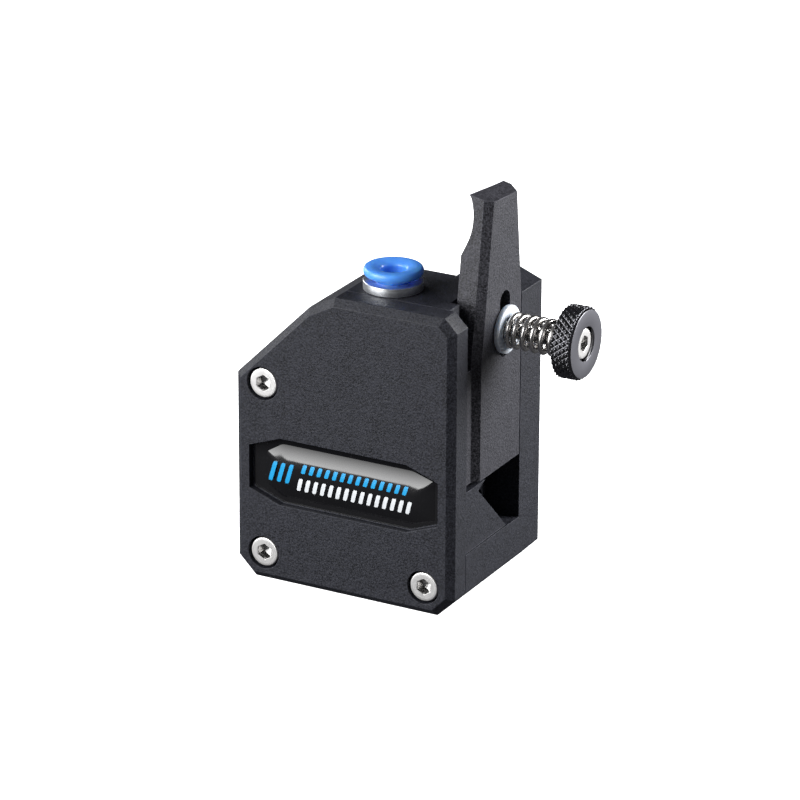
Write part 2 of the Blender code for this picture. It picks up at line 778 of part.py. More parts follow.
def rear_chamfer_tool():
    """A wedge off the plate's rear right edge. It starts at nothing and widens to the tip."""
    start = Vector((HALF_WIDTH, LEVER_BACK_Y, 31.0 * MM))
    inward = Vector((HALF_WIDTH - 2.3 * MM, LEVER_BACK_Y, LEVER_TIP_Z)) - start
    forward = Vector((HALF_WIDTH, LEVER_BACK_Y - 2.1 * MM, LEVER_TIP_Z)) - start
    reach = 1.4
    spread = (inward - forward) * 0.3
    below = start - (inward + forward) * 0.05
    outside = Vector((HALF_WIDTH + 3 * MM, LEVER_BACK_Y + 3 * MM, 60 * MM))
    return hull("rear_chamfer", [
        below,
        below + inward * reach + spread,
        below + forward * reach - spread,
        outside,
    ])


def chamfer_tool():
    """A wedge along the plate's front right edge, which leans back above the shoulder."""
    corners = [
        (-23.4 * MM, -2 * MM),
        (-23.4 * MM, 21.5 * MM),
        (-21.9 * MM, 31.5 * MM),
        (-18.8 * MM, LEVER_TIP_Z + 2.7 * MM),
    ]
    bm = bmesh.new()
    loops = []
    for y, z in corners:
        loops.append([
            bm.verts.new((HALF_WIDTH - LEVER_CHAMFER - 0.5 * MM, y - 0.5 * MM, z)),
            bm.verts.new((HALF_WIDTH + 0.5 * MM, y - 0.5 * MM, z)),
            bm.verts.new((HALF_WIDTH + 0.5 * MM, y + LEVER_CHAMFER + 0.5 * MM, z)),
        ])
    for lower, upper in zip(loops, loops[1:]):
        for i in range(3):
            bm.faces.new((lower[i], lower[(i + 1) % 3], upper[(i + 1) % 3], upper[i]))
    bm.faces.new(reversed(loops[0]))
    bm.faces.new(loops[-1])
    bmesh.ops.recalc_face_normals(bm, faces=bm.faces)
    mesh = bpy.data.meshes.new("lever_chamfer")
    bm.to_mesh(mesh)
    bm.free()
    return mesh_object("lever_chamfer", mesh)


def lever_body_outline():
    """Front view of the hidden half: pivot eye, leg, block and the cheeks of the idler fork."""
    eye_r = 3.8 * MM
    leg_left = 12.1 * MM
    leg_right = 17.7 * MM
    block_right = 19.8 * MM
    block_top = 21.6 * MM
    start = math.degrees(math.acos((leg_left - PIVOT[0]) / eye_r))
    stop = math.degrees(math.acos((leg_right - PIVOT[0]) / eye_r)) + 360
    foot = arc(PIVOT, eye_r, start, stop, 20)
    right = [
        (leg_right, LEVER_BASE_Z),
        (block_right, LEVER_BASE_Z),
        (block_right, block_top),
        (14.0 * MM, block_top),
    ]
    return foot + right + arc(IDLER, 3.3 * MM, 90, 270, 12) + [(leg_left, 12.0 * MM)]


def build_lever(material):
    body = prism("lever_body", [lever_body_outline()], "Y", FORK_FRONT_Y, FORK_BACK_Y)
    back_arm = FORK_BACK_Y - FORK_ARM
    leg_back = -18.9 * MM
    cut(
        body,
        cylinder("idler_gear_gap", 5.2 * MM, "Y", IDLER, FORK_FRONT_Y + FORK_ARM, back_arm),
        box("leg_back_cut", (5 * MM, leg_back, -25 * MM), (25 * MM, -10 * MM, LEVER_BASE_Z - 0.4 * MM)),
        cylinder("axle_hole", 1.55 * MM, "Y", IDLER, FORK_FRONT_Y - MM, FORK_BACK_Y + MM, steps=20),
        cylinder("eye_bore", 2.5 * MM, "Y", PIVOT, FORK_FRONT_Y - MM, leg_back + MM, steps=28),
    )
    plate = lever_plate()
    join(plate, bake(body))
    return finish(bake(plate), material, smooth=False)


def build_idler(steel, bright, plastic):
    """The idler gear on two needle sleeves and a 3 mm axle, with a shim at each end."""
    front = FORK_FRONT_Y + FORK_ARM
    back = FORK_BACK_Y - FORK_ARM
    shim = 0.3 * MM
    gear_front = front + shim + 2 * GAP
    gear_back = -17.3 * MM
    gap_left = 180 + 180 / PINION_TEETH
    idler = hobbed_gear("idler_gear", IDLER, gap_left, gear_front, gear_back, 2.35 * MM)
    axle = cylinder("idler_axle", 1.5 * MM, "Y", IDLER, FORK_FRONT_Y + GAP, FORK_BACK_Y - GAP, steps=20)
    sleeves = []
    middle = (gear_front + gear_back) / 2
    for name, low, high in (
        ("needle_sleeve_front", gear_front, middle - GAP),
        ("needle_sleeve_rear", middle + GAP, gear_back),
    ):
        sleeves.append(finish(ring(name, 2.3 * MM, 1.55 * MM, "Y", IDLER, low, high), bright))
    shims = []
    for name, low, high in (
        ("idler_shim_front", front + GAP, front + GAP + shim),
        ("idler_shim_rear", gear_back + GAP, back - GAP / 2),
    ):
        shims.append(finish(ring(name, 3.0 * MM, 1.6 * MM, "Y", IDLER, low, high), plastic))
    return finish(idler, steel), finish(axle, bright), sleeves, shims


# ---------------------------------------------------------------- thumbscrew

def build_washer(material):
    low = HALF_WIDTH + GAP / 2
    washer = ring("tension_washer", WASHER_R, 2.2 * MM, "X", (TENSION_Y, TENSION_Z), low, low + WASHER_THICK)
    return finish(washer, material)


def build_spring(material):
    """A wire coil along X. It starts under the thumbscrew, and its first turn is closed up."""
    start = HALF_WIDTH + GAP / 2 + WASHER_THICK + GAP + SPRING_WIRE_R
    stop = KNOB_NECK_X - GAP - SPRING_WIRE_R
    steps = 10
    count = round(SPRING_TURNS * steps)
    curve = bpy.data.curves.new("tension_spring", "CURVE")
    curve.dimensions = "3D"
    curve.bevel_depth = SPRING_WIRE_R
    curve.bevel_resolution = 1
    curve.use_fill_caps = True
    spline = curve.splines.new("POLY")
    spline.points.add(count)
    closed_rise = 2 * SPRING_WIRE_R + 0.04 * MM
    open_rise = (stop - start - closed_rise) / (SPRING_TURNS - 1)
    x = start
    for i, point in enumerate(spline.points):
        angle = 2 * math.pi * i / steps
        y = TENSION_Y - SPRING_R * math.sin(angle)
        z = TENSION_Z - SPRING_R * math.cos(angle)
        point.co = (x, y, z, 1.0)
        x += (closed_rise if i < steps else open_rise) / steps
    spring = mesh_object("tension_spring", curve)
    curve.materials.append(material)
    return spring


def build_knob(material):
    """The knob: a conical neck against the spring, a thick rim and a recess for the screw head."""
    sink = KNOB_FACE_X - 0.4 * MM - M3_HEAD - GAP
    bore = M3_R + GAP
    head_room = M3_HEAD_R + GAP
    edge = 0.5 * MM
    profile = [
        (head_room, KNOB_FACE_X),
        (KNOB_R - edge, KNOB_FACE_X),
        (KNOB_R, KNOB_FACE_X - edge),
        (KNOB_R, KNOB_RIM_X + edge),
        (KNOB_R - edge, KNOB_RIM_X),
        (4.8 * MM, KNOB_RIM_X - 0.15 * MM),
        (3.6 * MM, KNOB_NECK_X),
        (bore, KNOB_NECK_X),
        (bore, sink),
        (head_room, sink),
    ]
    return finish(turned("tension_knob", profile, "X", (TENSION_Y, TENSION_Z), steps=32), material)


def build_tension_screw(material):
    head_top = KNOB_FACE_X - 0.4 * MM
    tip = head_top - M3_HEAD - TENSION_LENGTH
    return cap_screw("tension_screw", "X", (TENSION_Y, TENSION_Z), head_top, tip, -1, material)


def build_nut(material):
    """A square nut that the slot keeps from turning."""
    half = NUT_ACROSS / 2
    nut = box(
        "tension_nut",
        (NUT_X, TENSION_Y - half, TENSION_Z - half),
        (NUT_X + NUT_THICK, TENSION_Y + half, TENSION_Z + half),
    )
    bore_r = M3_R + GAP / 2
    bore = cylinder("nut_bore", bore_r, "X", (TENSION_Y, TENSION_Z), NUT_X - MM, NUT_X + 4 * MM)
    return finish(bake(cut(nut, bore)), material)


# ---------------------------------------------------------------- filament path

def build_collet(metal, blue, rubber):
    """The push-in fitting: its threaded body, release ring, grip ring and O-ring."""
    centre = (FILAMENT_X, FILAMENT_Y)
    lip = TOP + 0.05 * MM
    ring_top = TOP + 1.6 * MM
    inside = 3.1 * MM
    edge = 0.2 * MM
    way_r = 1.2 * MM
    floor_z = COLLET_FOOT_Z + 0.6 * MM
    body = turned("collet_body", [
        (COLLET_R - edge, ring_top),
        (COLLET_R, ring_top - edge),
        (COLLET_R, lip),
        (COLLET_BODY_R, lip),
        (COLLET_BODY_R, COLLET_FOOT_Z),
        (way_r, COLLET_FOOT_Z),
        (way_r, floor_z),
        (inside, floor_z),
        (inside, ring_top),
    ], "Z", centre)
    flange_low = ring_top + 0.85 * MM
    flange_top = flange_low + 1.6 * MM
    flange_r = COLLET_R - 0.05 * MM
    sleeve_foot = 30.0 * MM
    socket_r = 2.15 * MM
    release = turned("collet_release", [
        (4.4 * MM, flange_top),
        (flange_r, flange_top - 0.6 * MM),
        (flange_r, flange_low + edge),
        (4.7 * MM, flange_low),
        (inside - edge, flange_low),
        (inside - edge, sleeve_foot),
        (socket_r, sleeve_foot),
        (socket_r, flange_top - 0.8 * MM),
        (2.7 * MM, flange_top),
    ], "Z", centre)
    grip = turned("collet_grip_ring", [
        (3.0 * MM, 29.0 * MM), (3.0 * MM, 28.4 * MM), (2.2 * MM, 27.8 * MM), (2.2 * MM, 28.2 * MM),
    ], "Z", centre)
    seal_r = 0.5 * MM
    round_section = arc((2.5 * MM, 26.6 * MM), seal_r, 330, 0, 11)
    seal = turned("collet_o_ring", round_section, "Z", centre)
    return finish(body, metal), finish(release, blue), finish(grip, metal), finish(seal, rubber)


def build_tubes(material):
    """Short guide tubes that lead the filament to and from the gears."""
    centre = (FILAMENT_X, FILAMENT_Y)
    reach = 3.7 * MM
    under_collet = COLLET_FOOT_Z - 2 * GAP
    foot = BOTTOM + 0.2 * MM
    upper = ring("upper_guide_tube", TUBE_R, TUBE_BORE_R, "Z", centre, DRIVE_Z + reach, under_collet)
    lower = ring("lower_guide_tube", TUBE_R, TUBE_BORE_R, "Z", centre, foot, DRIVE_Z - reach)
    return finish(upper, material), finish(lower, material)


# ---------------------------------------------------------------- the assembly

def build_all():
    shell = make_material("black_nylon", (0.03, 0.03, 0.034), 0.65)
    gloss = make_material("badge_gloss", (0.01, 0.01, 0.012), 0.12)
    stainless = make_material("stainless", (0.72, 0.71, 0.69), 0.25, 1.0)
    steel = make_material("gear_steel", (0.55, 0.55, 0.54), 0.35, 1.0)
    dark_steel = make_material("dark_steel", (0.06, 0.06, 0.065), 0.4, 1.0)
    nickel = make_material("nickel", (0.75, 0.75, 0.74), 0.2, 1.0)
    anodised = make_material("black_anodised", (0.02, 0.02, 0.022), 0.35, 0.6)
    white = make_material("white_nylon", (0.8, 0.83, 0.86), 0.4)
    acetal = make_material("acetal", (0.85, 0.84, 0.8), 0.45)
    blue = make_material("blue_acetal", (0.02, 0.15, 0.75), 0.35)
    rubber = make_material("seal_rubber", (0.02, 0.02, 0.02), 0.7)

    build_housing(shell)
    build_front_cover(shell)
    build_badge(gloss)
    build_case_screws(stainless)
    build_pivot_bush(steel)
    build_collet(nickel, blue, rubber)
    build_tubes(white)
    build_nut(stainless)

    front_outer, front_inner = bearing("front_bearing", SEAM - BEARING_WIDTH - GAP / 2, steel)
    rear_outer, rear_inner = bearing("rear_bearing", GEAR_ROOM_Y - BEARING_WIDTH - GAP / 2, steel)
    shaft = build_drive_shaft(steel)
    main_gear = build_main_gear(acetal)
    hub = build_gear_hub(steel)
    drive_gear, drive_grub = build_drive_gear(steel, dark_steel)
    front_shim, spacer = build_spacers(white)
    hang("drive_axis", (0.0, SEAM, DRIVE_Z), shaft, main_gear, hub, drive_gear, drive_grub, front_shim,
         spacer, front_inner, rear_inner)

    pinion, pinion_grub = build_pinion(steel, dark_steel)
    hang("pinion_axis", (0.0, MAIN_FRONT_Y, 0.0), pinion, pinion_grub)

    lever = build_lever(shell)
    washer = build_washer(white)
    idler, axle, sleeves, shims = build_idler(steel, nickel, white)
    pivot = hang("lever_axis", (PIVOT[0], FORK_FRONT_Y, PIVOT[1]), lever, washer, axle, *sleeves, *shims)
    idler_axis = hang("idler_axis", (IDLER_X, FILAMENT_Y, DRIVE_Z), idler)
    idler_axis.parent = pivot
    idler_axis.matrix_parent_inverse = pivot.matrix_world.inverted()

    spring = build_spring(nickel)
    knob = build_knob(anodised)
    screw = build_tension_screw(stainless)
    hang("tension_axis", (KNOB_RIM_X, TENSION_Y, TENSION_Z), spring, knob, screw)


clear_scene()
PARTS = new_collection("geared_extruder")
CUTTERS = new_collection("cutters")
build_all()
stand_on_base()
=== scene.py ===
"""Looks for the geared filament extruder: finer pieces, materials, lights and camera round the CAD.

Everything is in metres in the CAD's own frame: +Z up, +Y from the front cover to the motor face.
Round pieces are built about their own +Z and then placed, so their finish can follow their turning.
"""

import json
import math

import bmesh
import bpy
from mathutils import Matrix, Vector


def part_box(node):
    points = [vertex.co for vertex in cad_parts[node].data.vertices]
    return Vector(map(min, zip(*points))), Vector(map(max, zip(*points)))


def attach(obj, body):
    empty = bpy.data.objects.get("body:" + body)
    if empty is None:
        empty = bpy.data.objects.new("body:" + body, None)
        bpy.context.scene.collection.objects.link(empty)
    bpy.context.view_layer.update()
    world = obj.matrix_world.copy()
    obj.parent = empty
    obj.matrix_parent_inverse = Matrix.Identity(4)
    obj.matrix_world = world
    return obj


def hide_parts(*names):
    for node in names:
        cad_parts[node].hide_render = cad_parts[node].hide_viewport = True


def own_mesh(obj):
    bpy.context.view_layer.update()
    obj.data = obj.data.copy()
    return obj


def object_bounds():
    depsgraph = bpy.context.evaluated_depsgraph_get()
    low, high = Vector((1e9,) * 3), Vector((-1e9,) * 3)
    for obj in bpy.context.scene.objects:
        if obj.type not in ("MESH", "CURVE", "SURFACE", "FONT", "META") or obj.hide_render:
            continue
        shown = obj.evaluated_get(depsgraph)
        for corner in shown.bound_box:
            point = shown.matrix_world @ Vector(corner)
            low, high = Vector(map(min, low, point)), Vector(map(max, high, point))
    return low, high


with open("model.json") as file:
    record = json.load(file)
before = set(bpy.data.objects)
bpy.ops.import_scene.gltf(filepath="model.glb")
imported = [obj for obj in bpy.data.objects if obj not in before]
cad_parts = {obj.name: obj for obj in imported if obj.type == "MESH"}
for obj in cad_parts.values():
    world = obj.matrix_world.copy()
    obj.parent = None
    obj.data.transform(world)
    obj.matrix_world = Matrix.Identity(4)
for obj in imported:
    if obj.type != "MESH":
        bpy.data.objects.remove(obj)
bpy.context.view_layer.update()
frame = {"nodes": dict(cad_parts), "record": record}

MM = 0.001
NODES = frame["nodes"]
SLOTS = {part["node"]: part["material_slot"] for part in frame["record"]["subparts"]}

# Steps in a full turn, the angle in degrees from which an edge stays sharp, and rounded edges' widths.
ROUND = 96
SHARP = 32
CASE_EDGE = 0.18 * MM
SMALL_EDGE = 0.08 * MM

# M3 socket screws. The head is a trim smaller than its CAD solid, and the socket is given by its
# width across flats, below and at its mouth.
HEAD_HEIGHT = 3.0 * MM
HEAD_TRIM = 0.12 * MM
SOCKET_FLATS = 2.5 * MM
SOCKET_MOUTH = 2.66 * MM
SOCKET_DEPTH = 2.0 * MM
SHANK_R = 1.45 * MM
THREAD_PITCH = 0.5 * MM
THREAD_DEPTH = 0.3 * MM
CASE_SCREW_THREAD = 14.0 * MM

# The thumbscrew's diamond knurl: its teeth round the rim, the height over which a ridge leans by
# one tooth, their depth, and the flat share of a tooth's tip.
KNURL_TEETH = 36
KNURL_CLIMB = 1.4 * MM
KNURL_DEPTH = 0.3 * MM
KNURL_FLAT = 0.25

# The tension spring: its wire, its turns, and the turn at which its two halves meet.
WIRE_R = 0.5 * MM
SPRING_TURNS = 5.5
MEET_TURN = 3.5

# The badge's resin dome: half its height, how far its slopes reach in, and how much they fall.
BADGE_HALF = 4.8 * MM
BADGE_SLOPE = 3.9 * MM
BADGE_DOME = 0.85 * MM

# Spur gears.
GEAR_MODULE = 0.5 * MM
PRESSURE_ANGLE = math.radians(20)
MAIN_TEETH = 50
PINION_TEETH = 17
SHAFT_BORE_R = 2.55 * MM

# Camera: where it looks, how far off it stands, and its lens on its sensor, in mm.
CAMERA_TARGET = Vector((1.77 * MM, 1.0 * MM, 30.63 * MM))
CAMERA_AZIMUTH = 28.47
CAMERA_ELEVATION = 21.29
CAMERA_ROLL = 0.24
CAMERA_DISTANCE = 776.1 * MM
CAMERA_LENS = 204.5
CAMERA_SENSOR = 36.0

# The glow of the paper and the room to the camera, and the room's dim glow on the object.
PAPER_GLOW = 1.0
ROOM_WHITE = 1.05
ROOM_GLOW = 0.1

# The upper end of the lever's outer side, which one of the lights is aimed at.
LEVER_TOP = Vector((21 * MM, 4 * MM, 65 * MM))


# ---------------------------------------------------------------- materials

class Look:
    """A Principled material under construction. Its textures are laid out in the piece's own metres."""

    # The Mix node's colour sockets, which share their names with those of its other data types.
    MIX_FIRST = 6
    MIX_SECOND = 7
    MIX_RESULT = 2

    def __init__(self, name, color, roughness, metallic=0.0):
        self.material = bpy.data.materials.new(name)
        self.material.use_nodes = True
        self.tree = self.material.node_tree
        self.shader = self.tree.nodes["Principled BSDF"]
        self.coords = self.node("ShaderNodeTexCoord").outputs["Object"]
        self.set("Base Color", (*color, 1.0))
        self.set("Roughness", roughness)
        self.set("Metallic", metallic)
        self.material.diffuse_color = (*color, 1.0)

    def set(self, name, value):
        """Gives the shader's input a value, or links it to another node's output."""
        self.feed(self.shader.inputs[name], value)

    def feed(self, socket, value):
        if isinstance(value, bpy.types.NodeSocket):
            self.tree.links.new(value, socket)
        else:
            socket.default_value = value

    def node(self, kind, settings=None, **inputs):
        """Adds a node. An input's name has _ where the socket's has a space."""
        made = self.tree.nodes.new(kind)
        for name, value in (settings or {}).items():
            setattr(made, name, value)
        for name, value in inputs.items():
            self.feed(made.inputs[name.replace("_", " ")], value)
        return made

    def noise(self, size, detail=2.0, roughness=0.5, vector=None):
        """Noise whose blobs are about this size in metres."""
        made = self.node(
            "ShaderNodeTexNoise", Vector=vector or self.coords, Scale=1.0 / size, Detail=detail,
            Roughness=roughness,
        )
        return made.outputs["Fac"]

    def cells(self, size):
        made = self.node("ShaderNodeTexVoronoi", Vector=self.coords, Scale=1.0 / size)
        return made.outputs["Distance"]

    def remap(self, value, source, target):
        """Maps a value from one (low, high) range to another, and holds it at the ends."""
        made = self.node(
            "ShaderNodeMapRange", Value=value, From_Min=source[0], From_Max=source[1],
            To_Min=target[0], To_Max=target[1],
        )
        return made.outputs["Result"]

    def spread(self, noise, low, high):
        """Stretches a noise over low to high. Most of it lies between 0.3 and 0.7."""
        return self.remap(noise, (0.3, 0.7), (low, high))

    def blend(self, share, first, second):
        """Mixes two colours, each a value or another node's output, by a share from 0 to 1."""
        made = self.node("ShaderNodeMix", {"data_type": "RGBA"})
        self.feed(made.inputs["Factor"], share)
        for index, color in ((self.MIX_FIRST, first), (self.MIX_SECOND, second)):
            linked = isinstance(color, bpy.types.NodeSocket)
            self.feed(made.inputs[index], color if linked else (*color, 1.0))
        return made.outputs[self.MIX_RESULT]

    def math(self, operation, first, second=0.0):
        made = self.node("ShaderNodeMath", {"operation": operation})
        self.feed(made.inputs[0], first)
        self.feed(made.inputs[1], second)
        return made.outputs["Value"]

    def bump(self, height, depth, strength):
        """Raises the surface by height (0 to 1) times depth in metres."""
        made = self.node("ShaderNodeBump", Height=height, Distance=depth, Strength=strength)
        return made.outputs["Normal"]

    def edges(self, radius, start=0.02, full=0.18):
        """1 on sharp edges and 0 on flat faces, from how far a rounded normal leans."""
        leaning = self.node("ShaderNodeBevel", {"samples": 4}, Radius=radius).outputs["Normal"]
        dot = self.node("ShaderNodeVectorMath", {"operation": "DOT_PRODUCT"})
        self.feed(dot.inputs[0], leaning)
        self.feed(dot.inputs[1], self.node("ShaderNodeNewGeometry").outputs["Normal"])
        return self.remap(dot.outputs["Value"], (1.0 - start, 1.0 - full), (0.0, 1.0))


def shaded(color, factor):
    """A colour darkened by a factor below 1, or lightened by one above it."""
    return tuple(channel * factor for channel in color)


def cast_nylon(name, dark, light, grain, rough=0.52):
    """Black moulded plastic with an even sparked grain that lightens a little along its edges, partly
    wear and partly a painted edge highlight.
    """
    look = Look(name, dark, rough)
    fine = look.noise(grain, detail=3.0, roughness=0.7)
    patches = look.noise(2.6 * MM, detail=3.0)
    specks = look.remap(fine, (0.42, 0.6), (0.0, 1.0))
    tone = look.blend(specks, dark, light)
    tone = look.blend(look.spread(patches, 0.0, 0.35), tone, light)
    # Lighter edges: partly wear, partly a painted highlight where the edges catch the light.
    wear_and_highlight = look.math("MULTIPLY", look.edges(0.22 * MM), look.remap(patches, (0.35, 0.6), (0.25, 0.75)))
    look.set("Base Color", look.blend(wear_and_highlight, tone, shaded(light, 2.4)))
    look.set("Roughness", look.spread(fine, rough - 0.12, rough + 0.12))
    look.set("Specular IOR Level", 0.3)
    pits = look.math("ADD", look.math("MULTIPLY", look.cells(grain * 1.7), 0.5), fine)
    look.set("Normal", look.bump(pits, depth=0.09 * MM, strength=0.8))
    return look.material


def gloss_black(name, middle_z):
    """Clear resin over a black label: mirror smooth, with some dust, and its reflection painted weaker
    towards its upper edge.
    """
    black = (0.004, 0.004, 0.005)
    look = Look(name, black, 0.06)
    dust = look.remap(look.noise(0.35 * MM, detail=4.0), (0.66, 0.78), (0.0, 1.0))
    look.set("Base Color", look.blend(dust, black, (0.02, 0.02, 0.023)))
    look.set("Roughness", look.spread(look.noise(5 * MM), 0.05, 0.1))
    height = look.node("ShaderNodeSeparateXYZ", Vector=look.coords).outputs["Z"]
    # Painted reflection: the reflection is weakened towards the dome's upper edge, to paint in a fall-off
    # of the light it reflects.
    upper_slope = (middle_z + 1.6 * MM, middle_z + BADGE_HALF)
    look.set("Specular IOR Level", look.remap(height, upper_slope, (1.0, 0.2)))
    look.set("Normal", look.bump(look.noise(4 * MM, detail=1.0), depth=0.02 * MM, strength=0.5))
    return look.material


def print_ink(name, color):
    """Ink under the same clear resin."""
    look = Look(name, color, 0.25)
    shade = look.spread(look.noise(0.6 * MM, detail=3.0), 0.82, 1.0)
    look.set("Base Color", look.blend(shade, shaded(color, 0.6), color))
    look.set("Coat Weight", 0.3)
    look.set("Coat Roughness", 0.04)
    return look.material


def turned_metal(name, color, roughness, ring=0.09 * MM, depth=0.004 * MM, stain=0.25, core=None):
    """Metal turned about the piece's own Z, with fine rings, a little uneven in tone. Inside a core
    radius, what lies below the face (a socket or a thread) is darker and smoother: painted shade for
    the hollow of a socket and of a thread."""
    look = Look(name, color, roughness, metallic=1.0)
    x, y, z = look.node("ShaderNodeSeparateXYZ", Vector=look.coords).outputs
    square = look.math("ADD", look.math("MULTIPLY", x, x), look.math("MULTIPLY", y, y))
    radius = look.math("SQRT", square)
    profile = look.node("ShaderNodeCombineXYZ", X=radius, Z=z).outputs["Vector"]
    rings = look.noise(ring, detail=2.0, roughness=0.6, vector=profile)
    cloud = look.noise(1.5 * MM, detail=3.0)
    tone = look.blend(look.spread(cloud, 0.0, 1.0), shaded(color, 1.0 - stain), color)
    rough = look.spread(rings, roughness * 0.75, roughness * 1.3)
    # Painted shade: inside the core radius and below the face, the metal is darkened and smoothed for the
    # shade in a socket or among a thread's turns.
    if core:
        fade = 0.03 * MM
        within = look.remap(radius, (core - fade, core + fade), (1.0, 0.0))
        below = look.remap(z, (-0.09 * MM, -0.05 * MM), (1.0, 0.0))
        inside = look.math("MULTIPLY", within, below)
        tone = look.blend(inside, tone, shaded(color, 0.55))
        rough = look.math("MULTIPLY", rough, look.remap(inside, (0.0, 1.0), (1.0, 0.6)))
    look.set("Base Color", tone)
    look.set("Roughness", rough)
    look.set("Normal", look.bump(rings, depth, strength=0.8))
    return look.material


def anodised(name):
    """Black anodised aluminium: a satin turned face, and a glossier knurl whose tips are grey, partly
    wear and partly painted glints.
    """
    look = Look(name, (0.03, 0.03, 0.034), 0.3, metallic=1.0)
    normal = look.node("ShaderNodeTexCoord").outputs["Normal"]
    upward = look.node("ShaderNodeSeparateXYZ", Vector=normal).outputs["Z"]
    face = look.remap(upward, (0.85, 0.97), (0.0, 1.0))
    # Grey knurl tips: partly wear, partly painted glints on the knurl.
    wear_and_highlight = look.edges(0.1 * MM, start=0.08, full=0.5)
    spots = look.remap(look.noise(0.3 * MM, detail=3.0), (0.4, 0.65), (0.1, 0.8))
    knurl_tone = look.blend(look.math("MULTIPLY", wear_and_highlight, spots), (0.13, 0.13, 0.14), (0.5, 0.5, 0.54))
    look.set("Base Color", look.blend(face, knurl_tone, (0.13, 0.13, 0.145)))
    fine = look.spread(look.noise(0.15 * MM), -0.05, 0.05)
    look.set("Roughness", look.math("ADD", fine, look.remap(face, (0.0, 1.0), (0.17, 0.58))))
    look.set("Normal", look.bump(look.noise(0.08 * MM), depth=0.004 * MM, strength=0.6))
    return look.material


def clear_plastic(name, color, depth_color, roughness, through, scatter, coat=0.35):
    """Translucent plastic: a share of the light goes through and scatters, each channel by its own
    distance in metres, so thin parts glow in its colour."""
    look = Look(name, color, roughness)
    cloud = look.spread(look.noise(1.8 * MM), 0.0, 1.0)
    look.set("Base Color", look.blend(cloud, color, depth_color))
    smears = look.noise(0.5 * MM, detail=3.0)
    look.set("Roughness", look.spread(smears, roughness - 0.08, roughness + 0.1))
    look.set("Subsurface Weight", through)
    look.set("Subsurface Radius", scatter)
    look.set("Subsurface Scale", 1.0)
    look.set("Coat Weight", coat)
    look.set("Coat Roughness", 0.2)
    look.set("Normal", look.bump(look.noise(0.4 * MM, detail=3.0), depth=0.012 * MM, strength=0.6))
    return look.material


def seal_rubber(name):
    look = Look(name, (0.012, 0.012, 0.012), 0.6)
    look.set("Roughness", look.spread(look.noise(0.3 * MM), 0.5, 0.72))
    look.set("Normal", look.bump(look.noise(0.12 * MM, detail=3.0), depth=0.01 * MM, strength=0.5))
    return look.material


def studio_paper(name):
    """White paper to the camera, and dim to everything else, so that the black case keeps its depth."""
    look = Look(name, (0.93, 0.935, 0.95), 0.85)
    seen = look.node("ShaderNodeLightPath").outputs["Is Camera Ray"]
    soft = look.spread(look.noise(60 * MM), 0.0, 1.0)
    white = look.blend(soft, (0.92, 0.925, 0.94), (0.95, 0.955, 0.965))
    look.set("Base Color", look.blend(seen, (0.05, 0.05, 0.053), white))
    look.set("Specular IOR Level", 0.1)
    look.set("Emission Color", (1.0, 1.0, 1.0, 1.0))
    look.set("Emission Strength", look.math("MULTIPLY", seen, PAPER_GLOW))
    return look.material


def build_looks():
    """Every material of the object, by the record's slot where it has one."""
    return {
        "black_nylon": cast_nylon(
            "case_nylon", dark=(0.003, 0.0035, 0.0055), light=(0.03, 0.0315, 0.042), grain=0.27 * MM),
        "lever_nylon": cast_nylon(
            "lever_nylon", dark=(0.004, 0.004, 0.006), light=(0.066, 0.066, 0.079), grain=0.3 * MM,
            rough=0.5),
        "badge_gloss": gloss_black("badge_resin", middle("cover_badge").z),
        "cyan_ink": print_ink("cyan_ink", (0.02, 0.36, 0.72)),
        "white_ink": print_ink("white_ink", (0.82, 0.85, 0.88)),
        "stainless": turned_metal(
            "stainless_screw", (0.95, 0.94, 0.93), 0.42, stain=0.08, core=1.56 * MM),
        "gear_steel": turned_metal("machined_steel", (0.56, 0.56, 0.55), 0.3),
        "dark_steel": turned_metal("black_oxide", (0.05, 0.05, 0.055), 0.42),
        "nickel": turned_metal(
            "nickel_wire", (0.72, 0.7, 0.68), 0.26, ring=0.8 * MM, depth=0.0005 * MM, stain=0.12),
        "satin_ring": turned_metal("satin_ring", (0.86, 0.89, 0.93), 0.36, ring=0.07 * MM),
        "black_anodised": anodised("anodised_knob"),
        "white_nylon": clear_plastic(
            "washer_nylon", (0.64, 0.7, 0.8), depth_color=(0.7, 0.76, 0.85), roughness=0.6, through=0.4,
            scatter=(1.2 * MM, 1.4 * MM, 1.6 * MM), coat=0.0),
        "acetal": clear_plastic(
            "gear_acetal", (0.82, 0.8, 0.74), depth_color=(0.86, 0.84, 0.79), roughness=0.42,
            through=0.3, scatter=(1.2 * MM, 1.1 * MM, 0.8 * MM)),
        "blue_acetal": clear_plastic(
            "release_blue", (0.085, 0.32, 1.0), depth_color=(0.1, 0.36, 1.0), roughness=0.42,
            through=0.35, scatter=(0.4 * MM, 0.8 * MM, 2.0 * MM)),
        "seal_rubber": seal_rubber("seal_rubber"),
    }


# ---------------------------------------------------------------- shape helpers

def mesh_piece(name, bm, material, smooth_angle=SHARP):
    """Turns a bmesh into an object, closed faces out, smooth apart from its sharp edges."""
    bmesh.ops.recalc_face_normals(bm, faces=bm.faces)
    mesh = bpy.data.meshes.new(name)
    bm.to_mesh(mesh)
    bm.free()
    mesh.shade_smooth()
    mesh.set_sharp_from_angle(angle=math.radians(smooth_angle))
    mesh.materials.append(material)
    piece = bpy.data.objects.new(name, mesh)
    bpy.context.scene.collection.objects.link(piece)
    return piece


def loft(name, sections, material, smooth_angle=SHARP):
    """Joins sections of points, each with as many as the next, and caps both ends."""
    bm = bmesh.new()
    loops = [[bm.verts.new(point) for point in section] for section in sections]
    count = len(loops[0])
    for one, two in zip(loops, loops[1:]):
        for i in range(count):
            k = (i + 1) % count
            bm.faces.new((one[i], one[k], two[k], two[i]))
    bm.faces.new(loops[0])
    bm.faces.new(loops[-1])
    return mesh_piece(name, bm, material, smooth_angle)


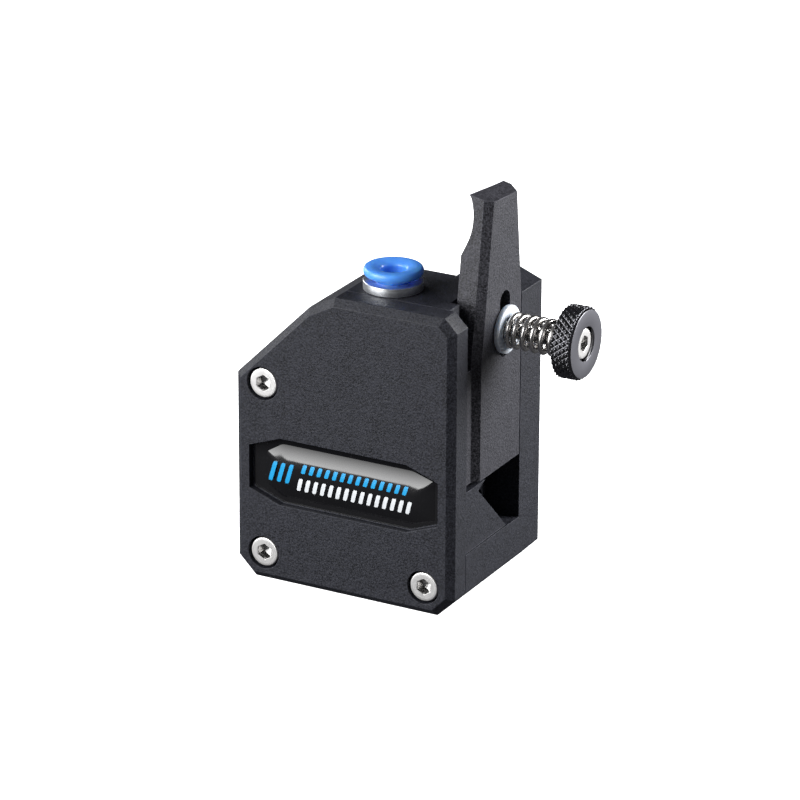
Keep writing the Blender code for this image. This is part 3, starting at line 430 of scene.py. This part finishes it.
def spin(name, rings, material, angles=None, steps=ROUND, closed=False, smooth_angle=SHARP):
    """Stacks rings of points about +Z. A ring is (radius, height), its radius a number, one number
    per angle, or a function of angle and height. A radius of 0 closes the piece with a point."""
    if angles is None:
        angles = [2 * math.pi * i / steps for i in range(steps)]
    count = len(angles)
    bm = bmesh.new()
    loops = []
    for radius, height in rings:
        if callable(radius):
            radii = [radius(angle, height) for angle in angles]
        elif isinstance(radius, list):
            radii = radius
        else:
            radii = [radius] * count
        if max(radii) <= 0.0:
            loops.append([bm.verts.new((0.0, 0.0, height))])
            continue
        loops.append([
            bm.verts.new((r * math.cos(a), r * math.sin(a), height)) for r, a in zip(radii, angles)
        ])
    pairs = list(zip(loops, loops[1:]))
    if closed:
        pairs.append((loops[-1], loops[0]))
    for upper, lower in pairs:
        for i in range(count):
            k = (i + 1) % count
            corners = [
                upper[i % len(upper)], upper[k % len(upper)],
                lower[k % len(lower)], lower[i % len(lower)],
            ]
            distinct = list(dict.fromkeys(corners))
            bm.faces.new(distinct)
    return mesh_piece(name, bm, material, smooth_angle)


def rounded(points, radius, cuts=3, closed=False):
    """Rounds the corners of a profile with short curves, as large as the sides next to them allow."""
    nearly_straight = 0.05
    longest_share = 0.45
    out = []
    total = len(points)
    for i, corner in enumerate(points):
        if not closed and i in (0, total - 1):
            out.append(corner)
            continue
        here = Vector(corner)
        back = Vector(points[i - 1]) - here
        ahead = Vector(points[(i + 1) % total]) - here
        if abs(back.angle(ahead) - math.pi) < nearly_straight:
            out.append(corner)
            continue
        reach = min(radius, back.length * longest_share, ahead.length * longest_share)
        start = here + back.normalized() * reach
        stop = here + ahead.normalized() * reach
        for k in range(cuts + 1):
            t = k / cuts
            point = start * (1 - t) ** 2 + here * 2 * t * (1 - t) + stop * t ** 2
            out.append(tuple(point))
    return out


def middle(node):
    low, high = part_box(node)
    return (low + high) / 2


def span(node, axis):
    """(low, high) of a node along X, Y or Z."""
    low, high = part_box(node)
    index = "XYZ".index(axis)
    return low[index], high[index]


def stands_for(piece, node, body):
    """Makes a piece the visible form of a CAD node, on the node's body."""
    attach(piece, body)
    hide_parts(node)


def placed(piece, node, axis, body):
    """Puts a piece built about +Z in a node's place. Its +Z points along axis, and its origin is
    the middle of the node's face on that side."""
    low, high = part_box(node)
    out = Vector(axis)
    face = (low + high) / 2 + out * abs((high - low).dot(out)) / 2
    piece.matrix_world = Matrix.Translation(face) @ out.to_track_quat("Z", "Y").to_matrix().to_4x4()
    stands_for(piece, node, body)


# ---------------------------------------------------------------- fasteners

def hex_radius(across):
    """Radius of a hexagon at any angle, from its width across flats."""
    def radius(angle, height):
        lean = (angle + math.pi / 6) % (math.pi / 3) - math.pi / 6
        return across / 2 / math.cos(lean)
    return radius


def thread_radius(angle, height):
    """Radius of the M3 screws' V thread at an angle and height."""
    phase = (height / THREAD_PITCH - angle / (2 * math.pi)) % 1.0
    ridge = abs(phase * 2 - 1)
    return SHANK_R - THREAD_DEPTH * (1 - ridge)


def socket_rings():
    """The socket from the point of its drilled floor up to its chamfered mouth."""
    key = hex_radius(SOCKET_FLATS)
    drill_r = 0.55 * MM
    drill_point = SOCKET_DEPTH + 0.5 * MM
    drill_edge = SOCKET_DEPTH + 0.28 * MM
    chamfer = 0.08 * MM
    return [
        (0.0, -drill_point), (drill_r, -drill_edge), (key, -SOCKET_DEPTH), (key, -chamfer),
        (hex_radius(SOCKET_MOUTH), 0.0),
    ]


def thread_rings(start, length):
    """The thread from a height down to the blunt tip of a screw of this length."""
    below_start = 0.05 * MM
    rings_per_pitch = 8
    end = 0.3 * MM - length
    tip_r = SHANK_R - 0.45 * MM
    count = int((start - end) / (THREAD_PITCH / rings_per_pitch))
    rings = []
    for i in range(count + 1):
        rings.append((thread_radius, start - below_start + (end - start) * i / count))
    return rings + [(tip_r, -length), (0.0, -length)]


def cap_screw(name, node, axis, body, material, threaded=None):
    """A socket head screw. Its thread runs up to the head, or only over a threaded length."""
    low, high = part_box(node)
    length = abs((high - low).dot(Vector(axis)))
    head_r = (high.z - low.z) / 2 - HEAD_TRIM
    plain_neck = 0.3 * MM
    start = threaded - length if threaded else -HEAD_HEIGHT - plain_neck
    mouth_r = 2.0 * MM
    crown_in = 0.05 * MM
    crown_down = 0.5 * MM
    outside = rounded(
        [(mouth_r, 0.0), (head_r - crown_in, 0.0), (head_r, -crown_down), (head_r, -HEAD_HEIGHT),
         (SHANK_R, -HEAD_HEIGHT), (SHANK_R, start)],
        0.3 * MM, cuts=4,
    )
    rings = socket_rings() + outside + thread_rings(start, length)
    placed(spin(name, rings, material, steps=60), node, axis, body)


# ---------------------------------------------------------------- thumbscrew

def knurl_radius(rim_r):
    """Radius of the diamond knurl, two V threads that cross, at any angle and height."""
    def radius(angle, height):
        turn = angle * KNURL_TEETH / (2 * math.pi)
        rise = height / KNURL_CLIMB
        first = abs((turn + rise) % 1.0 - 0.5) * 2
        second = abs((turn - rise) % 1.0 - 0.5) * 2
        groove = max(0.0, max(first, second) - KNURL_FLAT) / (1.0 - KNURL_FLAT)
        return rim_r - KNURL_DEPTH * groove
    return radius


def build_knob(material):
    """A knurled rim with a hollow for the screw's head, a plain bevelled face and a concave neck."""
    x_low, x_high = span("tension_knob", "X")
    z_low, z_high = span("tension_knob", "Z")
    rim_r = (z_high - z_low) / 2
    face_r = rim_r - 0.42 * MM
    back = x_low - x_high
    neck = 0.75 * MM
    rim_back = back + neck
    bore = 1.55 * MM
    hollow_r = 2.95 * MM
    hollow_floor = -3.6 * MM
    bevel_foot = -0.4 * MM
    front = rounded(
        [(hollow_r, hollow_floor), (hollow_r, 0.0), (face_r, 0.0), (rim_r - KNURL_DEPTH, bevel_foot)],
        0.12 * MM,
    )
    rings = [(bore, hollow_floor)] + front

    rim = knurl_radius(rim_r)
    rim_rows = 56
    rim_top = -0.45 * MM
    rim_foot = rim_back + 0.2 * MM
    for i in range(rim_rows + 1):
        rings.append((rim, rim_top + (rim_foot - rim_top) * i / rim_rows))

    flare_rows = 8
    flare_r = rim_r - 0.5 * MM
    flare_reach = 2.3 * MM
    for i in range(flare_rows + 1):
        t = i / flare_rows
        rings.append((flare_r - flare_reach * math.sin(t * math.pi / 2), rim_back - neck * t ** 2))
    rings.append((bore, back))

    knob = spin(
        "tension_knob_knurled", rings, material, steps=KNURL_TEETH * 10, closed=True, smooth_angle=40)
    placed(knob, "tension_knob", (1, 0, 0), "knob")


def spring_point(t, start, stop, coil_r, centre):
    """A point on the spring's wire after t turns. The first turn is closed, the rest are even."""
    closed = 2 * WIRE_R + 0.04 * MM
    open_rise = (stop - start - closed) / (SPRING_TURNS - 1)
    x = start + closed * min(t, 1.0) + open_rise * max(t - 1.0, 0.0)
    angle = 2 * math.pi * t
    return Vector((x, centre.y - coil_r * math.sin(angle), centre.z - coil_r * math.cos(angle)))


def spring_half(name, t_low, t_high, coil, material):
    """A stretch of the coil as a swept circle, ground flat where it meets the spring's ends."""
    steps = 44
    sides = 16
    ahead_turns = 0.005
    past_end = WIRE_R * 0.8
    count = round((t_high - t_low) * steps)
    sections = []
    for i in range(count + 1):
        t = t_low + (t_high - t_low) * i / count
        here = spring_point(t, **coil)
        ahead = spring_point(t + ahead_turns, **coil) - spring_point(t - ahead_turns, **coil)
        ahead.normalize()
        side = Vector((1, 0, 0)).cross(ahead).normalized()
        up = ahead.cross(side)
        section = []
        for k in range(sides):
            angle = 2 * math.pi * k / sides
            point = here + side * WIRE_R * math.cos(angle) + up * WIRE_R * math.sin(angle)
            point.x = min(max(point.x, coil["start"] - past_end), coil["stop"] + past_end)
            section.append(point)
        sections.append(section)
    piece = loft(name, sections, material, smooth_angle=50)
    stands_for(piece, "tension_spring", "root")
    return piece


def build_spring(material):
    """Two halves of one coil, split at the point where they meet: the left one at the lever's end and
    the right one at the thumbscrew's."""
    low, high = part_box("tension_spring")
    coil = {
        "start": low.x + WIRE_R,
        "stop": high.x - WIRE_R,
        "coil_r": (high.z - low.z) / 2 - WIRE_R,
        "centre": middle("tension_spring"),
    }
    meet = spring_point(MEET_TURN, **coil)
    left = spring_half("spring_lever_half", 0.0, MEET_TURN, coil, material)
    right = spring_half("spring_knob_half", MEET_TURN, SPRING_TURNS, coil, material)

    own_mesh(left)
    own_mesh(right)


def build_washer(material):
    x_low, x_high = span("tension_washer", "X")
    z_low, z_high = span("tension_washer", "Z")
    outer = (z_high - z_low) / 2
    hole = 2.2 * MM
    back = x_low - x_high
    profile = rounded(
        [(hole, 0.0), (outer, 0.0), (outer, back), (hole, back)], 0.22 * MM, cuts=4, closed=True)
    washer = spin("tension_washer_fine", profile, material, closed=True)
    placed(washer, "tension_washer", (1, 0, 0), "lever")


# ---------------------------------------------------------------- push-in fitting

def build_fitting_ring(material):
    """The fitting's metal body: a lip on the case, and a neck with a floor round the tube's hole."""
    low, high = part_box("collet_body")
    lip_r = (high.x - low.x) / 2
    lip = -1.55 * MM
    neck_r = 4.2 * MM
    inside = 3.1 * MM
    hole = 1.2 * MM
    foot = low.z - high.z
    floor = foot + 0.6 * MM
    profile = rounded(
        [(lip_r, 0.0), (lip_r, lip), (neck_r, lip), (neck_r, foot), (hole, foot), (hole, floor),
         (inside, floor), (inside, 0.0)],
        0.2 * MM, closed=True,
    )
    ring = spin("collet_body_fine", profile, material, closed=True)
    placed(ring, "collet_body", (0, 0, 1), "root")


def build_release(material):
    """The blue release ring: a flange dished on top round the tube's hole, and a sleeve below it."""
    low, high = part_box("collet_release")
    flange_r = (high.x - low.x) / 2
    flange_foot = -1.6 * MM
    hole = 2.15 * MM
    sleeve = 2.9 * MM
    foot = low.z - high.z
    dish = [(hole, -0.75 * MM), (2.45 * MM, -0.42 * MM), (3.25 * MM, -0.12 * MM), (3.9 * MM, 0.0)]
    rim = [(flange_r - 0.25 * MM, -0.12 * MM), (flange_r, -0.55 * MM), (flange_r, -1.15 * MM),
           (4.75 * MM, flange_foot)]
    profile = rounded(
        dish + rim + [(sleeve, flange_foot), (sleeve, foot), (hole, foot)], 0.3 * MM, cuts=4, closed=True)
    release = spin("collet_release_fine", profile, material, closed=True)
    placed(release, "collet_release", (0, 0, 1), "release")


# ---------------------------------------------------------------- badge

def badge_loop(upper, inset=0.0):
    """An outline as (x, z) points about the badge's middle, from its upper half in mm. Every side is
    moved in by inset."""
    corners = [Vector(point) * MM for point in upper + [(x, -z) for x, z in reversed(upper)]]
    moved = []
    for i, corner in enumerate(corners):
        back = (corners[i - 1] - corner).normalized()
        ahead = (corners[(i + 1) % len(corners)] - corner).normalized()
        reach = inset / math.sin(back.angle(ahead) / 2)
        moved.append(tuple(corner + (back + ahead).normalized() * reach))
    return rounded(moved, 0.6 * MM, cuts=5, closed=True)


def dome_drop(z):
    """How far the dome's surface lies behind its flat middle at a height z from its long axis."""
    past = max(0.0, abs(z) - (BADGE_HALF - BADGE_SLOPE)) / BADGE_SLOPE
    return BADGE_DOME * past ** 1.5


def build_badge(material):
    """A black sheet that fills the recess, and a resin dome on it, off centre to the right."""
    low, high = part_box("cover_badge")
    centre = middle("cover_badge")
    sheet = badge_loop([(17.8, 3.7), (12.0, 5.8), (-12.0, 5.8), (-17.8, 3.7)])
    sheet_front = high.y - 0.12 * MM
    dome = [(17.1, 3.5), (12.9, 4.8), (-12.2, 4.8), (-15.4, 2.8)]
    levels = [(sheet, high.y), (sheet, sheet_front), (badge_loop(dome), sheet_front)]
    steps = 20
    for i in range(steps + 1):
        inset = BADGE_SLOPE * i / steps
        levels.append((badge_loop(dome, inset), low.y + dome_drop(BADGE_HALF - inset)))
    sections = []
    for loop, y in levels:
        sections.append([(centre.x + x, y, centre.z + z) for x, z in loop])
    badge = loft("cover_badge_dome", sections, material, smooth_angle=40)
    stands_for(badge, "cover_badge", "root")


def build_bars(cyan, white):
    """The label's rows of plain slanted bars: three cyan ones at the left, and two long rows."""
    bar_share = 0.5
    slant = 0.3
    # Name, ink, left end, bottom and top in mm from the badge's middle, number of bars, spacing in mm.
    rows = [
        ("emblem", cyan, -14.6, -1.9, 1.7, 3, 1.6),
        ("upper", cyan, -8.2, 0.5, 2.1, 14, 1.5),
        ("lower", white, -9.2, -2.9, -0.5, 15, 1.5),
    ]
    for name, ink, start, bottom, top, count, spacing in rows:
        for i in range(count):
            left = (start + spacing * i) * MM
            limits = (left, left + spacing * bar_share * MM, bottom * MM, top * MM)
            build_bar(f"badge_{name}_bar_{i}", ink, limits, (top - bottom) * slant * MM)


def build_bar(name, ink, limits, lean):
    """A slanted bar with clipped corners that follows the dome, a hair proud of it."""
    x_low, x_high, z_low, z_high = limits
    centre = middle("cover_badge")
    surface = span("cover_badge", "Y")[0]
    proud = 0.02 * MM
    thick = 0.2 * MM
    corner = 0.12 * MM
    rows = 10
    sections = []
    for i in range(rows + 1):
        z = z_low + (z_high - z_low) * i / rows
        shift = lean * i / rows
        pinch = corner if i in (0, rows) else 0.0
        left = centre.x + x_low + shift + pinch
        right = centre.x + x_high + shift - pinch
        front = surface + dome_drop(z) - proud
        back = front + thick
        up = centre.z + z
        sections.append([(left, front, up), (right, front, up), (right, back, up), (left, back, up)])
    bar = loft(name, sections, ink)
    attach(bar, "root")


# ---------------------------------------------------------------- gears and shaft

def gear_flank(teeth):
    """(radius, half a tooth's width as an angle) from the root of an involute tooth to its tip."""
    pitch_r = GEAR_MODULE * teeth / 2
    base_r = pitch_r * math.cos(PRESSURE_ANGLE)
    root_r = pitch_r - 1.2 * GEAR_MODULE
    tip_r = pitch_r + 0.92 * GEAR_MODULE
    play = 0.05 * MM
    half_pitch = math.pi / (2 * teeth) - play / pitch_r
    full = math.tan(PRESSURE_ANGLE) - PRESSURE_ANGLE
    points = 4
    least_lean = 1e-4
    flank = []
    for i in range(points):
        radius = root_r + (tip_r - root_r) * i / (points - 1)
        lean = math.acos(min(1.0, base_r / max(radius, base_r)))
        half = half_pitch + full - (math.tan(lean) - lean)
        if flank:
            half = min(half, flank[-1][1] - least_lean)
        flank.append((radius, half))
    return flank


def gear_outline(teeth, first):
    """The angles and radii of points round a spur gear, with a tooth's middle at the first angle."""
    flank = gear_flank(teeth)
    angles = []
    radii = []
    for tooth in range(teeth):
        centre = first + 2 * math.pi * tooth / teeth
        angles += [centre - half for radius, half in flank]
        angles += [centre + half for radius, half in reversed(flank)]
        radii += [radius for radius, half in flank + flank[::-1]]
    return angles, radii


def trimmed(radii, amount):
    """A gear's outline made smaller all round, for the chamfer at the ends of its teeth."""
    return [radius - amount for radius in radii]


def build_main_gear(material):
    """The moulded gear: chamfered teeth, and a web dished on both faces between rim and hub."""
    y_low, y_high = span("main_gear", "Y")
    back = y_low - y_high
    angles, radii = gear_outline(MAIN_TEETH, math.pi / 2)
    ends = trimmed(radii, 0.15 * MM)
    chamfer = 0.18 * MM
    rim = 10.6 * MM
    hub = 5.9 * MM
    bore = 4.05 * MM
    dish = 1.6 * MM
    soft = 0.25 * MM
    edge = 0.1 * MM
    rings = [
        (ends, 0.0), (radii, -chamfer), (radii, back + chamfer), (ends, back),
        (rim + soft, back), (rim, back + soft), (rim, back + dish - soft), (rim - soft, back + dish),
        (hub + soft, back + dish), (hub, back + dish - soft), (hub, back), (bore, back),
        (bore, 0.0), (hub - edge, 0.0), (hub, -edge), (hub, -dish + soft),
        (hub + soft, -dish), (rim - soft, -dish), (rim, -dish + soft), (rim, -edge), (rim + edge, 0.0),
    ]
    gear = spin("main_gear_fine", rings, material, angles=angles, closed=True, smooth_angle=35)
    placed(gear, "main_gear", (0, 1, 0), "drive")


def build_main_hub(material):
    y_low, y_high = span("main_gear_hub", "Y")
    outer = 4.0 * MM
    back = y_low - y_high
    profile = rounded(
        [(outer, 0.0), (outer, back), (SHAFT_BORE_R, back), (SHAFT_BORE_R, 0.0)], 0.25 * MM, closed=True)
    hub = spin("main_gear_hub_fine", profile, material, closed=True)
    placed(hub, "main_gear_hub", (0, 1, 0), "drive")


def build_pinion(material):
    """The motor pinion: a plain hub at the motor side, and chamfered teeth in front of it."""
    low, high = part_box("motor_pinion")
    back = low.y - high.y
    hub_r = (high.x - low.x) / 2
    hub_foot = -3.2 * MM
    angles, radii = gear_outline(PINION_TEETH, -math.pi / 2 + math.pi / PINION_TEETH)
    ends = trimmed(radii, 0.3 * MM)
    rings = [
        (SHAFT_BORE_R, 0.0), (hub_r - 0.3 * MM, 0.0), (hub_r, -0.3 * MM), (hub_r, hub_foot + 0.2 * MM),
        (hub_r - 0.2 * MM, hub_foot), (ends, hub_foot), (radii, hub_foot - 0.2 * MM),
        (radii, back + 0.25 * MM), (ends, back), (SHAFT_BORE_R, back),
    ]
    pinion = spin("motor_pinion_fine", rings, material, angles=angles, closed=True, smooth_angle=35)
    placed(pinion, "motor_pinion", (0, 1, 0), "pinion")


def build_grub(material):
    """The pinion's set screw, its hexagon socket facing out of the hub."""
    low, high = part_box("pinion_grub_screw")
    grub_r = (high.z - low.z) / 2
    back = low.x - high.x
    key = hex_radius(1.3 * MM)
    chamfer = 0.1 * MM
    rings = [
        (0.0, -0.9 * MM), (key, -0.8 * MM), (key, -0.05 * MM), (0.8 * MM, 0.0),
        (grub_r - chamfer, 0.0), (grub_r, -chamfer), (grub_r, back), (0.0, back),
    ]
    grub = spin("pinion_grub_fine", rings, material, steps=48)
    placed(grub, "pinion_grub_screw", (-1, 0, 0), "pinion")


def build_shaft(material):
    """The drive shaft, with a lathe centre in its rear end."""
    low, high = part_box("drive_shaft")
    radius = (high.x - low.x) / 2
    back = low.y - high.y
    dimple = 0.7 * MM
    profile = rounded(
        [(0.0, -dimple), (dimple, 0.0), (radius, 0.0), (radius, back), (dimple, back),
         (0.0, back + dimple)],
        0.35 * MM, cuts=4,
    )
    shaft = spin("drive_shaft_fine", profile, material)
    placed(shaft, "drive_shaft", (0, 1, 0), "drive")


# ---------------------------------------------------------------- CAD nodes that stay

def soften_edges(node, material, width, segments):
    """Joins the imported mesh's faces again, rounds its edges and gives it a finish."""
    obj = NODES[node]
    obj.data.materials.clear()
    obj.data.materials.append(material)
    weld = obj.modifiers.new("weld", "WELD")
    weld.merge_threshold = 1e-6
    flat = obj.modifiers.new("flat", "DECIMATE")
    flat.decimate_type = "DISSOLVE"
    flat.angle_limit = math.radians(0.6)
    bevel = obj.modifiers.new("edges", "BEVEL")
    bevel.width = width
    bevel.segments = segments
    bevel.limit_method = "ANGLE"
    bevel.angle_limit = math.radians(25)
    bevel.miter_outer = "MITER_ARC"
    bevel.use_clamp_overlap = True
    bevel.harden_normals = True


def finish_nodes(looks):
    """Gives every other CAD node that still shows the finish of its slot."""
    for node, obj in NODES.items():
        if obj.hide_render or obj.modifiers:
            continue
        soften_edges(node, looks[SLOTS[node]], SMALL_EDGE, 2)


# ---------------------------------------------------------------- light, floor and camera

def build_stage():
    """A pale floor that curves up behind the object."""
    reach = 1.2
    back = 0.55
    bend = 0.35
    height = 1.1
    steps = 16
    profile = [(-reach, 0.0)]
    for i in range(steps + 1):
        angle = math.pi / 2 * i / steps
        profile.append((back + bend * math.sin(angle), bend * (1 - math.cos(angle))))
    profile.append((back + bend, height))
    bm = bmesh.new()
    left, right = [[bm.verts.new((x, y, z)) for y, z in profile] for x in (-reach, reach)]
    for i in range(len(profile) - 1):
        bm.faces.new((left[i], right[i], right[i + 1], left[i + 1]))
    floor = mesh_piece("studio_floor", bm, studio_paper("studio_paper"), smooth_angle=60)
    floor.location.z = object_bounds()[0].z - 0.02 * MM


def direction(azimuth, elevation):
    """The way to look from: azimuth in degrees from the front (-Y) towards +X, elevation upwards."""
    turn = math.radians(azimuth)
    rise = math.radians(elevation)
    return Vector((math.sin(turn) * math.cos(rise), -math.cos(turn) * math.cos(rise), math.sin(rise)))


def area_light(name, azimuth, elevation, distance, size, power, target=CAMERA_TARGET):
    """A square soft light aimed at a target, placed by its direction as seen from there."""
    away = direction(azimuth, elevation)
    data = bpy.data.lights.new(name, "AREA")
    data.shape = "SQUARE"
    data.size = size
    data.energy = power
    light = bpy.data.objects.new(name, data)
    light.location = target + away * distance
    light.rotation_mode = "QUATERNION"
    light.rotation_quaternion = away.to_track_quat("Z", "Y")
    bpy.context.scene.collection.objects.link(light)


def build_room():
    """A room that is white to the camera and dim on the object."""
    world = bpy.data.worlds.new("studio")
    world.use_nodes = True
    tree = world.node_tree
    background = tree.nodes["Background"]
    background.inputs["Color"].default_value = (0.97, 0.98, 1.0, 1.0)
    seen = tree.nodes.new("ShaderNodeLightPath").outputs["Is Camera Ray"]
    strength = tree.nodes.new("ShaderNodeMapRange")
    strength.inputs["To Min"].default_value = ROOM_GLOW
    strength.inputs["To Max"].default_value = ROOM_WHITE
    tree.links.new(seen, strength.inputs["Value"])
    tree.links.new(strength.outputs["Result"], background.inputs["Strength"])
    bpy.context.scene.world = world


def build_lights():
    """A large soft box at the front left, a small one behind on the right for the lever's side, and
    a weak fill behind on the left."""
    area_light("key", azimuth=-35, elevation=18, distance=0.5, size=0.5, power=5.6)
    area_light("right", azimuth=128, elevation=15, distance=0.4, size=0.25, power=3.9, target=LEVER_TOP)
    area_light("left", azimuth=250, elevation=15, distance=0.7, size=0.4, power=2.0)


def build_camera():
    turn = math.radians(CAMERA_AZIMUTH)
    roll = math.radians(CAMERA_ROLL)
    back = direction(CAMERA_AZIMUTH, CAMERA_ELEVATION)
    right = Vector((math.cos(turn), math.sin(turn), 0.0))
    up = back.cross(right)
    rolled_right = right * math.cos(roll) + up * math.sin(roll)
    rolled_up = up * math.cos(roll) - right * math.sin(roll)
    data = bpy.data.cameras.new("camera")
    data.lens = CAMERA_LENS
    data.sensor_width = CAMERA_SENSOR
    camera = bpy.data.objects.new("camera", data)
    facing = Matrix((rolled_right, rolled_up, back)).transposed().to_4x4()
    camera.matrix_world = Matrix.Translation(CAMERA_TARGET + back * CAMERA_DISTANCE) @ facing
    bpy.context.scene.collection.objects.link(camera)
    bpy.context.scene.camera = camera


# ---------------------------------------------------------------- the assembly

def build_screws(material):
    for node in ("case_screw_upper_left", "case_screw_lower_left", "pivot_screw"):
        cap_screw(node + "_fine", node, (0, -1, 0), "root", material, CASE_SCREW_THREAD)
    cap_screw("tension_screw_fine", "tension_screw", (1, 0, 0), "knob", material)


def build_pieces(looks):
    soften_edges("main_housing", looks["black_nylon"], CASE_EDGE, 3)
    soften_edges("front_cover", looks["black_nylon"], CASE_EDGE, 3)
    soften_edges("idler_lever", looks["lever_nylon"], CASE_EDGE, 3)
    build_badge(looks["badge_gloss"])
    build_bars(looks["cyan_ink"], looks["white_ink"])
    build_screws(looks["stainless"])
    build_knob(looks["black_anodised"])
    build_spring(looks["nickel"])
    build_washer(looks["white_nylon"])
    build_fitting_ring(looks["satin_ring"])
    build_release(looks["blue_acetal"])
    build_main_gear(looks["acetal"])
    build_main_hub(looks["gear_steel"])
    build_pinion(looks["gear_steel"])
    build_grub(looks["dark_steel"])
    build_shaft(looks["gear_steel"])
    finish_nodes(looks)


build_pieces(build_looks())
build_stage()
build_room()
build_lights()
build_camera()
bpy.context.scene.view_settings.view_transform = "Standard"
